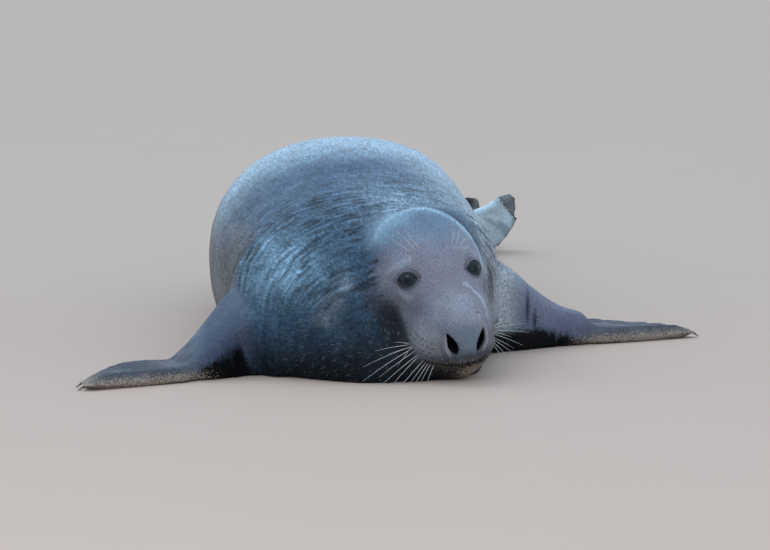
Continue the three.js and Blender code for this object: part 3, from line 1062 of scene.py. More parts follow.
def behind_shoulder(straight: np.ndarray) -> np.ndarray:
    """How far places along the straightened spine lie behind the fold between shoulder and flank."""
    high = straight[:, 2]
    line = 0.272 + 1.15 * np.clip(high - 0.215, 0.0, 0.2) - 0.10 * np.clip(0.10 - high, 0.0, 0.1)
    return straight[:, 1] - line


class Hue:
    """The colours of the coat."""

    SLATE: Colour = (0.046, 0.092, 0.155)
    NIGHT: Colour = (0.010, 0.015, 0.022)
    MAUVE: Colour = (0.270, 0.248, 0.292)
    PALE: Colour = (0.30, 0.30, 0.29)
    SOOT: Colour = (0.020, 0.020, 0.023)
    DARK_MOTTLE: Colour = (0.024, 0.046, 0.080)
    LIGHT_MOTTLE: Colour = (0.065, 0.115, 0.175)
    RUMP: Colour = (0.360, 0.500, 0.620)
    FLANK: Colour = (0.120, 0.120, 0.115)
    SHOULDER_EDGE: Colour = (0.110, 0.190, 0.250)
    CROWN_GLOW: Colour = (0.25, 0.38, 0.50)
    CROWN_RIM: Colour = (0.42, 0.58, 0.74)
    CROWN_GROOVE: Colour = (0.020, 0.032, 0.050)
    ARM: Colour = (0.195, 0.208, 0.285)
    SHADED_ARM: Colour = (0.054, 0.076, 0.125)
    SHADED_ELBOW: Colour = (0.115, 0.175, 0.255)
    HAND: Colour = (0.060, 0.062, 0.072)
    HAND_STREAK: Colour = (0.130, 0.138, 0.160)
    UNDER_ARM: Colour = (0.080, 0.100, 0.145)
    GAP: Colour = (0.0015, 0.002, 0.003)
    CREASE: Colour = (0.010, 0.012, 0.018)
    HIND: Colour = (0.620, 0.770, 0.860)
    HIND_STREAK: Colour = (0.300, 0.370, 0.420)
    HIND_PLEAT: Colour = (0.170, 0.230, 0.290)
    FOLDED_TIP: Colour = (0.130, 0.125, 0.130)
    DARK_FOLD: Colour = (0.020, 0.020, 0.024)
    HIND_TOE: Colour = (0.090, 0.090, 0.100)
    RIGHT_HIND: Colour = (0.030, 0.014, 0.013)
    MUZZLE_SIDE: Colour = (0.225, 0.222, 0.250)
    CHEEK: Colour = (0.012, 0.013, 0.016)
    NOSE_PAD: Colour = (0.145, 0.176, 0.215)
    UNDER_NOSE: Colour = (0.045, 0.045, 0.050)
    NOSTRIL_WING: Colour = (0.340, 0.325, 0.340)
    NOSTRIL_EDGE: Colour = (0.040, 0.040, 0.055)
    NOSTRIL: Colour = (0.0006, 0.0006, 0.0008)
    FOLLICLE: Colour = (0.020, 0.020, 0.024)
    EYE_RING: Colour = (0.045, 0.042, 0.048)
    LID: Colour = (0.006, 0.006, 0.008)
    LID_FOLD: Colour = (0.055, 0.052, 0.060)
    MOUTH: Colour = (0.010, 0.009, 0.009)
    EAR: Colour = (0.010, 0.010, 0.012)
    SPOT: Colour = (0.004, 0.004, 0.006)
    FLOOR_SHADE: Colour = (0.002, 0.004, 0.007)


MARKINGS = (
    # trunk: a dark saddle, a painted sheen on the left side of the back and on the nape, greyer flanks and a
    # black throat
    Marking((-0.09, -0.15, 0.34), (0.20, 0.42, 0.07), (0.050, 0.122, 0.232), 0.90, rough=0.2),
    Marking((0.17, -0.25, 0.26), (0.12, 0.44, 0.10), (0.510, 0.605, 0.690), 0.85, rough=0.2),
    Marking((0.02, -0.64, 0.27), (0.09, 0.10, 0.07), (0.270, 0.375, 0.480), 0.85),
    Marking((-0.33, -0.40, 0.12), (0.08, 0.27, 0.13), (0.148, 0.150, 0.156), 0.95, rough=0.15),
    Marking((0.22, -0.25, 0.12), (0.10, 0.34, 0.13), (0.155, 0.162, 0.165), 0.70, rough=0.15),
    Marking((-0.19, -0.77, 0.18), (0.08, 0.10, 0.065), (0.215, 0.355, 0.470), 0.80),
    # the black throat: its own dark colour, with painted shade under the chin and head
    Marking((-0.04, -0.88, 0.10), (0.17, 0.12, 0.085), (0.018, 0.040, 0.060), 0.85),
    Marking((-0.05, -0.90, 0.00), (0.33, 0.28, 0.085), (0.002, 0.005, 0.008), 1.0, rough=0.3),
    # darker along the bottom of the trunk: partly its own colour, partly painted shade near the floor
    Marking((-0.02, -0.20, 0.0), (0.30, 0.95, 0.045), (0.045, 0.050, 0.055), 0.8, rough=0.2),
    Marking((0.18, -0.60, 0.10), (0.08, 0.14, 0.12), (0.500, 0.530, 0.550), 0.92, rough=0.9),
    # a thin strip of painted shadow on the neck beside the left side of the head
    Marking((0.159, -0.60, 0.13), (0.010, 0.09, 0.06), (0.040, 0.036, 0.038), 0.85, rough=0.3),
    # pale blotches on the chest beside the face
    Marking((-0.106, -0.836, 0.131), (0.020, 0.03, 0.016), Hue.PALE, 0.28, rough=1.0),
    Marking((-0.086, -0.814, 0.160), (0.018, 0.03, 0.014), Hue.PALE, 0.28, rough=1.0),
    Marking((-0.120, -0.850, 0.103), (0.018, 0.03, 0.010), Hue.PALE, 0.25, rough=1.0),
    # head: a bluer forehead, pale rings and brows round the eyes, a pale bridge and muzzle
    Marking((0.0, -0.060, 0.060), (0.080, 0.060, 0.040), (0.165, 0.238, 0.335), 0.88, True),
    Marking((0.060, 0.008, 0.002), (0.034, 0.026, 0.034), (0.210, 0.205, 0.240), 0.65, True, True, 0.3),
    Marking((0.062, -0.008, 0.022), (0.018, 0.014, 0.009), (0.28, 0.33, 0.40), 0.75, True, True, 0.3),
    Marking((0.066, 0.034, -0.024), (0.020, 0.012, 0.008), (0.27, 0.27, 0.30), 0.60, True, True, 0.4),
    Marking((0.0, 0.085, -0.012), (0.042, 0.055, 0.026), (0.270, 0.290, 0.330), 0.80, True),
    Marking((0.064, 0.108, -0.064), (0.028, 0.038, 0.026), (0.270, 0.262, 0.285), 0.85, True, True),
    # painted shade in the hollow cheeks and behind the muzzle, dark lips, and painted shade on the jaw and chin
    # under the muzzle
    Marking((0.110, 0.010, -0.030), (0.022, 0.030, 0.030), (0.075, 0.078, 0.090), 0.80, True, True),
    Marking((0.098, 0.036, -0.050), (0.022, 0.032, 0.026), Hue.SOOT, 1.0, True, True, 0.2),
    Marking((0.106, 0.072, -0.084), (0.020, 0.050, 0.036), (0.012, 0.016, 0.020), 1.0, True, True, 0.2),
    Marking((0.055, 0.070, -0.122), (0.060, 0.090, 0.020), (0.025, 0.025, 0.028), 0.9, True, True),
    Marking((0.0, 0.142, -0.092), (0.060, 0.040, 0.017), (0.030, 0.026, 0.028), 0.95, True),
    Marking((0.020, 0.130, -0.122), (0.070, 0.060, 0.016), (0.008, 0.007, 0.008), 1.0, True),
)

LINES = (
    Line(5.0 * MM, (0.37, 0.43, 0.51), 0.48, ((80, -22, 1), (74, -15, 11), (65, -8, 20), (50, -3, 31))),
    Line(
        3.4 * MM,
        (0.32, 0.32, 0.36),
        0.45,
        ((77, 4, -6), (75, 9, -10), (72, 22, -17), (67, 33, -18), (58, 42, -15)),
    ),
    Line(4.5 * MM, (0.40, 0.40, 0.46), 0.55, ((-33, -4, 39), (-48, -6, 33), (-66, -11, 18), (-78, -15, 5))),
    # painted highlights along the left ridge of the muzzle
    Line(3.6 * MM, (0.48, 0.56, 0.64), 0.62, ((-30, 52, 1), (-40, 59, -6), (-48, 66, -15), (-54, 77, -23))),
    Line(
        4.0 * MM,
        (0.46, 0.52, 0.58),
        0.62,
        ((-54, 77, -23), (-53, 96, -27), (-52, 113, -34), (-55, 126, -46)),
    ),
)


# ---------------------------------------------------------------- the skin


@dataclass
class Skin:
    """One skin over all the flesh: an even mesh of the solids, refined where the face needs it.

    Attributes:
        voxel: the first mesh's grain.
        body_growth: how far the body is swollen for the first mesh, so that its solids join.
        limb_growth: the same for the flippers, so that their thin toes survive in it.
        coat_depth: how deep the skin lies under the solids' surface on the trunk.
        face_depth: the same on the head and flippers.
        floor_band: height below which the skin stays where it meets the floor.
        floor_gap: how far its lowest places stay over the floor.
        trunk_rounds: rounds of smoothing that take the facets off the trunk.
        head_rounds: the same for the head.
        arm_rounds: the same for the arms.
        wrist_rounds: rounds that soften the bend between arm and hand.
        hind_rounds: rounds on the hind flippers.
        toe_rounds: the same on their refined toes.
        face: the head's landmarks.
    """

    voxel: float = 8.6 * MM
    body_growth: float = 0.4 * MM
    limb_growth: float = 3.4 * MM
    coat_depth: float = 2.4 * MM
    face_depth: float = 1.0 * MM
    floor_band: float = 9.0 * MM
    floor_gap: float = 0.4 * MM
    trunk_rounds: int = 46
    head_rounds: int = 9
    arm_rounds: int = 24
    wrist_rounds: int = 5
    hind_rounds: int = 8
    toe_rounds: int = 40
    face: Face = Face()
    surface: Surface = field(init=False)
    piece: bpy.types.Object = field(init=False)

    def build(self) -> "Skin":
        """Makes the skin piece; returns itself."""
        mesh = self._first_mesh()
        self.surface = Surface(mesh)
        self._label()
        self._sink_and_fair()
        self.surface.write()
        self._unwrap(mesh)
        for level in range(3):
            self._refine(mesh, level)
        self.surface = Surface(mesh)
        self._fair_refined()
        self.surface = Sculptor(self.surface, self.face, self.voxel).sculpt()
        Painter(self.surface, self.face).paint()
        self.surface.write()
        shade_smooth(mesh)
        mesh.materials.append(CoatFinish().build("skin_and_fur"))
        self.piece = new_object("skin", mesh)
        return self

    def attach(self) -> None:
        """Lets the skin stand for the flesh nodes."""
        finish_piece(self.piece)
        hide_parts(*Flesh.nodes())

    def tree(self) -> BVHTree:
        """A search tree over the finished skin."""
        faces = [tuple(face.vertices) for face in self.piece.data.polygons]
        return BVHTree.FromPolygons([Vector(place) for place in self.surface.co], faces)

    def _first_mesh(self) -> bpy.types.Mesh:
        """The solids wrapped in one even mesh, without the bubbles inside it."""
        body = merged_copy(Flesh.HEAD.value + Flesh.TRUNK.value + ("eye_left", "eye_right"), self.body_growth)
        with edited(body) as joined:
            joined.from_mesh(merged_copy(Flesh.FORE.value + Flesh.HIND.value, self.limb_growth))
        maker = new_object("skin_maker", body)
        wrap = maker.modifiers.new("wrap", "REMESH")
        wrap.mode = "VOXEL"
        wrap.voxel_size = self.voxel
        mesh = applied(maker)
        bpy.data.objects.remove(maker)
        with edited(mesh) as work:
            islands = self._islands(work)
            largest = max(islands, key=len)
            stray = [vertex for island in islands if island is not largest for vertex in island]
            bmesh.ops.delete(work, geom=stray, context="VERTS")
        mesh.name = "skin"
        LOG.info("even mesh: %d faces, %d stray vertices removed", len(mesh.polygons), len(stray))
        return mesh

    @staticmethod
    def _islands(work: bmesh.types.BMesh) -> list[list[bmesh.types.BMVert]]:
        """The vertices of each connected part."""
        seen: set[int] = set()
        found = []
        for start in work.verts:
            if start.index in seen:
                continue
            island, queue = [], [start]
            seen.add(start.index)
            while queue:
                vertex = queue.pop()
                island.append(vertex)
                for edge in vertex.link_edges:
                    other = edge.other_vert(vertex)
                    if other.index not in seen:
                        seen.add(other.index)
                        queue.append(other)
            found.append(island)
        return found

    def _label(self) -> None:
        """Stores how far each vertex belongs to the head and to the flippers, with soft borders."""
        nearest = np.full(len(self.surface.co), np.inf)
        chosen = np.zeros(len(self.surface.co), int)
        groups = list(Flesh)
        for number, group in enumerate(groups):
            tree = self._tree(group.value)
            away = np.array([tree.find_nearest(Vector(place))[3] for place in self.surface.co])
            closer = away < nearest
            nearest[closer] = away[closer]
            chosen[closer] = number
        for group, rounds in ((Flesh.HEAD, 6), (Flesh.FORE, 14), (Flesh.HIND, 14)):
            member = (chosen == groups.index(group)).astype(float)
            self.surface.put(group.name.lower(), self.surface.diffuse(member, rounds))

    @staticmethod
    def _tree(names: Iterable[str]) -> BVHTree:
        """A search tree over the solids' surfaces."""
        mesh = merged_copy(names)
        places = [vertex.co for vertex in mesh.vertices]
        tree = BVHTree.FromPolygons(places, [tuple(face.vertices) for face in mesh.polygons])
        bpy.data.meshes.remove(mesh)
        return tree

    def _settle_limbs(self, reach: float) -> None:
        """Lays the skin of the flippers back onto their solids, within a reach of the claws."""
        surface = self.surface
        solids = self._tree(Flesh.nodes())
        limb = smoothstep(0.10, 0.60, surface.share_of("fore", "hind"))
        limb *= smoothstep(reach, 0.8 * reach, from_claws(surface.co))
        for index in np.flatnonzero(limb > 0.01):
            nearest = np.array(solids.find_nearest(Vector(surface.co[index]))[0])
            surface.co[index] += (nearest - surface.co[index]) * limb[index]

    def _sink_and_fair(self) -> None:
        """Takes off the solids' facets and sinks the skin below their surface by the coat's depth."""
        surface = self.surface
        small, fore = surface.share_of("head", "fore", "hind"), surface.get("fore")
        floor = surface.co[:, 2].copy()
        self._settle_limbs(1.0)
        surface.fair(self.head_rounds, surface.get("head"))
        surface.fair(self.trunk_rounds, 1.0 - small)
        surface.fair(self.arm_rounds, fore * smoothstep(0.09, 0.15, from_claws(surface.co)))
        surface.fair(self.hind_rounds, surface.get("hind"))
        surface.fair(3)
        surface.fair(self.wrist_rounds, fore * smoothstep(0.10, 0.16, from_claws(surface.co)), 0.0)
        depth = self.coat_depth + (self.face_depth - self.coat_depth) * small
        depth *= 1.0 - 0.7 * smoothstep(0.3, 0.9, surface.share_of("fore", "hind"))
        surface.co -= surface.normals() * depth[:, None]
        low = floor < self.floor_band
        surface.co[low, 2] = np.minimum(surface.co[low, 2], np.maximum(floor[low], self.floor_gap))
        surface.keep_above(self.floor_gap)

    @staticmethod
    def _unwrap(mesh: bpy.types.Mesh) -> None:
        """Gives the even mesh an unwrap of its own shape, which later refining keeps."""
        mesh.uv_layers.new(name=BAKE_MAP)
        maker = new_object("unwrap_maker", mesh)
        bpy.context.view_layer.objects.active = maker
        maker.select_set(True)
        bpy.ops.object.mode_set(mode="EDIT")
        bpy.ops.mesh.select_all(action="SELECT")
        bpy.ops.uv.smart_project(angle_limit=math.radians(75), island_margin=0.004)
        bpy.ops.object.mode_set(mode="OBJECT")
        bpy.data.objects.remove(maker)

    def _wanted(self, surface: Surface, level: int) -> np.ndarray:
        """Which vertices a level refines: first those of neck and head, then the face, then eyes and nose."""
        points, head = surface.co, surface.get("head")
        local = HEAD.inside(points)
        clear = points[:, 2] > 12.0 * MM
        creases = [distance(points, crease.place) < 50.0 * MM for crease in ARM_CREASES]
        if level == 0:
            straight, _ = SPINE.straighten(points)
            front = (straight[:, 1] < 0.36) & (points[:, 2] > 0.06)
            toes = from_claws(points) < 0.12
            return clear & ((head > 0.02) | front | np.any(creases, axis=0)) | toes
        face = (head > 0.3) & (local[:, 1] > -55.0 * MM) & (local[:, 2] > -130.0 * MM) & clear
        if level == 1:
            return face | np.all(creases, axis=0)
        eyes = [distance(local, eye.centre()) < 30.0 * MM for eye in self.face.eyes]
        return face & (np.any(eyes, axis=0) | (self.face.nose_pad(local) < 1.15))

    def _refine(self, mesh: bpy.types.Mesh, level: int) -> None:
        """Halves the mesh's grain where the level asks for it."""
        chosen = self._wanted(Surface(mesh), level)
        with edited(mesh) as work:
            edges = [edge for edge in work.edges if all(chosen[vertex.index] for vertex in edge.verts)]
            bmesh.ops.subdivide_edges(work, edges=edges, cuts=1, use_grid_fill=True)
        LOG.info("refined level %d: %d faces", level, len(mesh.polygons))

    def _fair_refined(self) -> None:
        """Rounds off the flat quarters that refining leaves."""
        surface = self.surface
        self._settle_limbs(0.10)
        surface.fair(6, smoothstep(0.02, 0.2, surface.get("head")))
        surface.fair(3)
        surface.fair(self.toe_rounds, smoothstep(0.3, 0.8, surface.get("hind")), 0.40)


# ---------------------------------------------------------------- relief of the skin


@dataclass
class Sculptor:
    """Shapes the fine relief that the solids leave out.

    Attributes:
        surface: the refined skin.
        face: the head's landmarks.
        grain: the longest edge that stays in the skin that hangs under the arms.
        wrist: the place across of the left wrist.
        hind_edge: places across and, for each, how far the left hind flipper's upper edge rises there, in
            millimetres.
        arm_lines: for each arm, the line on the floor that its hanging skin follows.
    """

    surface: Surface
    face: Face
    grain: float
    wrist: float = 0.328
    hind_edge: tuple[tuple[float, float], ...] = (
        (0.11, 0.0), (0.14, -14.0), (0.158, -12.5), (0.177, -9.5), (0.192, -2.5), (0.210, 3.0), (0.226, 4.5),
    )
    arm_lines: tuple[tuple[tuple[float, float], tuple[float, float]], ...] = (
        ((0.17, -0.47), (0.32, -0.42)),
        ((-0.19, -0.74), (-0.34, -0.82)),
    )

    def sculpt(self) -> Surface:
        """Shapes flippers, trunk and face in turn; returns the finished surface."""
        self._fill_wrist()
        self._spread_hind()
        self._ground_arms()
        self._refine_hanging()
        straight, _ = SPINE.straighten(self.surface.co)
        self._fold_crown()
        self._wrinkle_neck(straight)
        self._fold_shoulders()
        self._slacken_back()
        for crease in ARM_CREASES:
            self._push(-5.0 * MM * crease.weight(self.surface.co, 4.0 * MM))
        local = HEAD.inside(self.surface.co)
        self._cut_lips(local)
        self._cut_nostrils(local)
        for eye in self.face.eyes:
            self._shape_lids(eye)
        return self.surface

    def _push(self, height: np.ndarray) -> None:
        """Moves the skin out along its normals by a height at each vertex."""
        self.surface.co += self.surface.normals() * height[:, None]

    def _fill_wrist(self) -> None:
        """Fills the bend between the left arm and the back of its hand."""
        co = self.surface.co
        past = co[:, 0] - self.wrist
        share = self.surface.get("fore") * bell(past, np.where(past > 0.0, 56.0 * MM, 33.0 * MM))
        co[:, 2] += 11.0 * MM * share * smoothstep(15.0 * MM, 45.0 * MM, co[:, 2])

    def _spread_hind(self) -> None:
        """Slopes, widens and rounds the left hind flipper and turns out the tip of the right one."""
        surface = self.surface
        co, hind = surface.co, smoothstep(0.3, 0.8, surface.get("hind"))
        middles = [np.array(centre_of(f"hind_flipper_{side.word}")) for side in Side]
        nearer = distance(co, middles[1]) - distance(co, middles[0])
        right = smoothstep(-10.0 * MM, 20.0 * MM, nearer) * hind
        surface.put("right_hind", right)
        left, tip = hind * (1.0 - right), right * smoothstep(0.80, 0.92, co[:, 1])
        across, high, low = co[:, 0].copy(), smoothstep(0.02, 0.08, co[:, 2]), bell(co[:, 2] - 0.045, 0.028)
        slope = np.interp(across, *zip(*self.hind_edge))
        co[:, 2] += (12.0 * right - 6.0 * tip + slope * left) * high * MM
        wider = 4.0 * high * smoothstep(0.19, 0.23, across) + 9.0 * low * smoothstep(0.17, 0.21, across)
        co[:, 0] += (13.0 * right * high + 27.0 * tip * high + wider * left) * MM
        co[:, 2] -= 13.0 * MM * np.clip((co[:, 0] - 0.142) / 0.036, 0.0, 1.0) * tip * high
        toes = left * smoothstep(0.185, 0.200, co[:, 0])
        co += (surface.diffuse(co, 14) - co) * toes[:, None]
        surface.keep_above()

    def _ground_arms(self) -> None:
        """Lets the skin under the arms hang down to the floor between chest and wrist, as a sheet that takes
        the painted shadow under each arm, and stores where it hangs as shade.
        """
        surface = self.surface
        normals = surface.normals()
        shade = np.zeros(len(normals))
        for line in self.arm_lines:
            away, _ = nearest_on(line, surface.co[:, :2])
            low = smoothstep(0.30, -0.20, normals[:, 2]) * smoothstep(0.13, 0.08, surface.co[:, 2])
            share = smoothstep(0.10, 0.055, away) * low
            surface.co[:, 2] += (2.5 * MM - surface.co[:, 2]) * share
            shade = np.maximum(shade, share)
        surface.put("shade", surface.diffuse(shade, 6))
        surface.fair(5, smoothstep(0.14, 0.06, surface.co[:, 2]) * (1.0 - surface.get("head")))
        surface.write()

    def _refine_hanging(self) -> None:
        """Halves the long edges of the skin that hangs under the arms, and evens it out."""
        mesh, shade = self.surface.mesh, self.surface.get("shade")
        with edited(mesh) as work:
            hanging = [edge for edge in work.edges if max(shade[vertex.index] for vertex in edge.verts) > 0.1]
            for _ in range(2):
                long = [edge for edge in hanging if edge.calc_length() > self.grain]
                made = bmesh.ops.subdivide_edges(work, edges=long, cuts=1, use_grid_fill=True)["geom_inner"]
                hanging = long + [part for part in made if isinstance(part, bmesh.types.BMEdge)]
        self.surface = Surface(mesh)
        self.surface.fair(8, smoothstep(0.05, 0.2, self.surface.get("shade")))
        self.surface.keep_above()

    def _fold_crown(self) -> None:
        """Cuts the fold behind the crown: a groove between two soft rims, fainter on the right."""
        past, near, soft = self.face.past_crown(HEAD.inside(self.surface.co))
        groove = (-8.0 + 6.0 * soft) * bell(past - 11.0 * MM, 7.0 * MM)
        height = groove + 4.0 * bell(past - 32.0 * MM, 14.0 * MM) + 2.0 * bell(past + 6.0 * MM, 8.0 * MM)
        self._push(height * MM * near)

    def _wrinkle_neck(self, straight: np.ndarray) -> None:
        """Pushes up broken wrinkles that run round the neck, by the places along the straightened spine."""
        surface = self.surface
        warp = layered_noise(straight * (14.0, 9.0, 14.0), 5) - 0.5
        near = smoothstep(0.80, 0.22, straight[:, 1]) * (1.0 - smoothstep(0.1, 0.7, surface.get("head")))
        near *= 1.0 - surface.share_of("fore", "hind")
        high = 0.35 + 0.65 * smoothstep(0.05, 0.20, surface.co[:, 2])
        ripples = layered_noise(straight * (9.0, 58.0, 9.0) + warp[:, None] * (0.0, 2.0, 0.0), 2, 2)
        broken = smoothstep(0.30, 0.65, layered_noise(straight * (10.0, 14.0, 10.0), 9))
        folds = near * high * (0.35 + 0.65 * broken)
        surface.put("folds", np.clip(folds, 0.0, 1.0))
        self._push((ripples - 0.5) * 5.0 * MM * folds)

    def _fold_shoulders(self) -> None:
        """Lets the shoulders bulge over the flanks, with a sharp step between them."""
        surface = self.surface
        straight, _ = SPINE.straighten(surface.co)
        high, trunk = surface.co[:, 2], 1.0 - surface.share_of("fore", "hind")
        behind = behind_shoulder(straight)
        aside = smoothstep(0.06, 0.20, np.abs(straight[:, 0])) * trunk * smoothstep(0.03, 0.07, high)
        bulge = 7.5 * MM * np.exp(-np.abs(np.minimum(behind, 0.0)) / 0.045) * (behind <= 0.0)
        hollow = -12.0 * MM * np.exp(-np.maximum(behind, 0.0) / 0.055) * (behind > 0.0)
        step = bulge + (hollow - bulge) * smoothstep(-3.0 * MM, 6.0 * MM, behind)
        self._push(step * aside * smoothstep(0.285, 0.205, high))

    def _slacken_back(self) -> None:
        """Flattens the left side of the back, where it turns down to the flank."""
        surface = self.surface
        co, turned = surface.co, bell(surface.normals()[:, 0] - 0.80, 0.24)
        along = smoothstep(-0.50, -0.30, co[:, 1]) * smoothstep(0.70, 0.45, co[:, 1])
        slack = turned * along * smoothstep(0.16, 0.22, co[:, 2])
        self._push(-8.0 * MM * slack * (1.0 - surface.share_of("fore", "hind")))

    def _cut_lips(self, local: np.ndarray) -> None:
        """Cuts the mouth's line and the split under the nose, and raises the reliefs and whisker roots."""
        corner, head = self.face.lips_corner, self.surface.get("head")
        over = self.face.above_lips(local)
        along = smoothstep(corner - 8.0 * MM, corner + 16.0 * MM, local[:, 1])
        split = bell(local[:, 0], 2.2 * MM) * smoothstep(-70.0 * MM, -82.0 * MM, local[:, 2])
        split *= smoothstep(110.0 * MM, 125.0 * MM, local[:, 1])
        mouth = -4.0 * bell(over, 3.0 * MM) * along + 1.8 * bell(over - 9.0 * MM, 6.0 * MM) * along
        height = (mouth - 1.8 * split) * MM + sum(relief.lift(local) for relief in RELIEFS)
        dots = self._follicles(local)
        self.surface.put("follicle", dots * head)
        self._push((height + 0.5 * MM * bell(dots - 0.5, 0.3)) * head)

    def _cut_nostrils(self, local: np.ndarray) -> None:
        """Sinks the nostrils and raises a wing round each."""
        front = smoothstep(100.0 * MM, 125.0 * MM, local[:, 1])
        depth = np.zeros(len(local))
        for nostril in self.face.nostrils:
            around, outer = nostril.around(local), smoothstep(0.0, 12.0 * MM, nostril.outward(local))
            sunk = np.clip(1.0 - around**2, 0.0, 1.0) ** 0.45 * nostril.depth
            depth = np.maximum(depth, sunk * front)
            wing = bell(around - 1.55, 0.40) * (1.2 + 2.6 * outer) - 2.0 * bell(around - 2.6, 0.35) * outer
            self._push(wing * front * MM)
        back = HEAD.directions(np.array([[0.0, -1.0, 0.0]]))[0]
        self.surface.co += back * depth[:, None]
        self.surface.put("nostril", np.clip(depth / (5.0 * MM), 0.0, 1.0))

    @staticmethod
    def _follicles(local: np.ndarray) -> np.ndarray:
        """Dots in rows over the whisker pads: 1 at each whisker's root, fading over its rim."""
        across, along, up = np.abs(local.T) / MM
        row = (up - 52.0) / 8.5
        place = along / 8.0 + 0.5 * np.floor(row + 0.5)
        off = np.hypot((row - np.round(row)) * 8.5, (place - np.round(place)) * 8.0)
        pad = smoothstep(78.0, 90.0, along) * smoothstep(140.0, 130.0, along) * smoothstep(30.0, 38.0, across)
        pad *= smoothstep(46.0, 52.0, up) * smoothstep(100.0, 92.0, up)
        return bell(off, 1.9) * pad * (local[:, 2] < 0.0)

    def _shape_lids(self, eye: Eye) -> None:
        """Lets the skin hug one eyeball outside its opening and dive behind it inside."""
        surface = self.surface
        around, away, out = eye.opening(HEAD.inside(surface.co))
        front = eye.near(away, out)
        hugging = np.sqrt(np.maximum((eye.radius + eye.lid) ** 2 - away**2, (0.45 * eye.radius) ** 2))
        inside = np.sqrt(np.maximum(eye.radius**2 - away**2, 0.0)) - 4.0 * MM
        share = smoothstep(1.85, 1.06, around) * front
        crease = -0.6 * bell(around - 1.55, 0.10) + 0.4 * bell(around - 1.30, 0.12)
        crease -= 0.5 * bell(around - 1.90, 0.10)
        target = np.where(around < 1.0, inside, hugging)
        moved = out + (target - out) * share + crease * MM * front
        surface.co += HEAD.directions(eye.axes()[2:3])[0] * (moved - out)[:, None]


# ---------------------------------------------------------------- what is painted on the skin


def map_places(surface: Surface, muzzle_tip: Point) -> None:
    """Stores what the grain of the hair follows: the place along the spine and away from the muzzle's tip."""
    local = HEAD.inside(surface.co)
    surface.put("straight", SPINE.straighten(surface.co)[0])
    surface.put("muzzle", np.stack([local[:, 0], distance(local, muzzle_tip), local[:, 2]], 1))


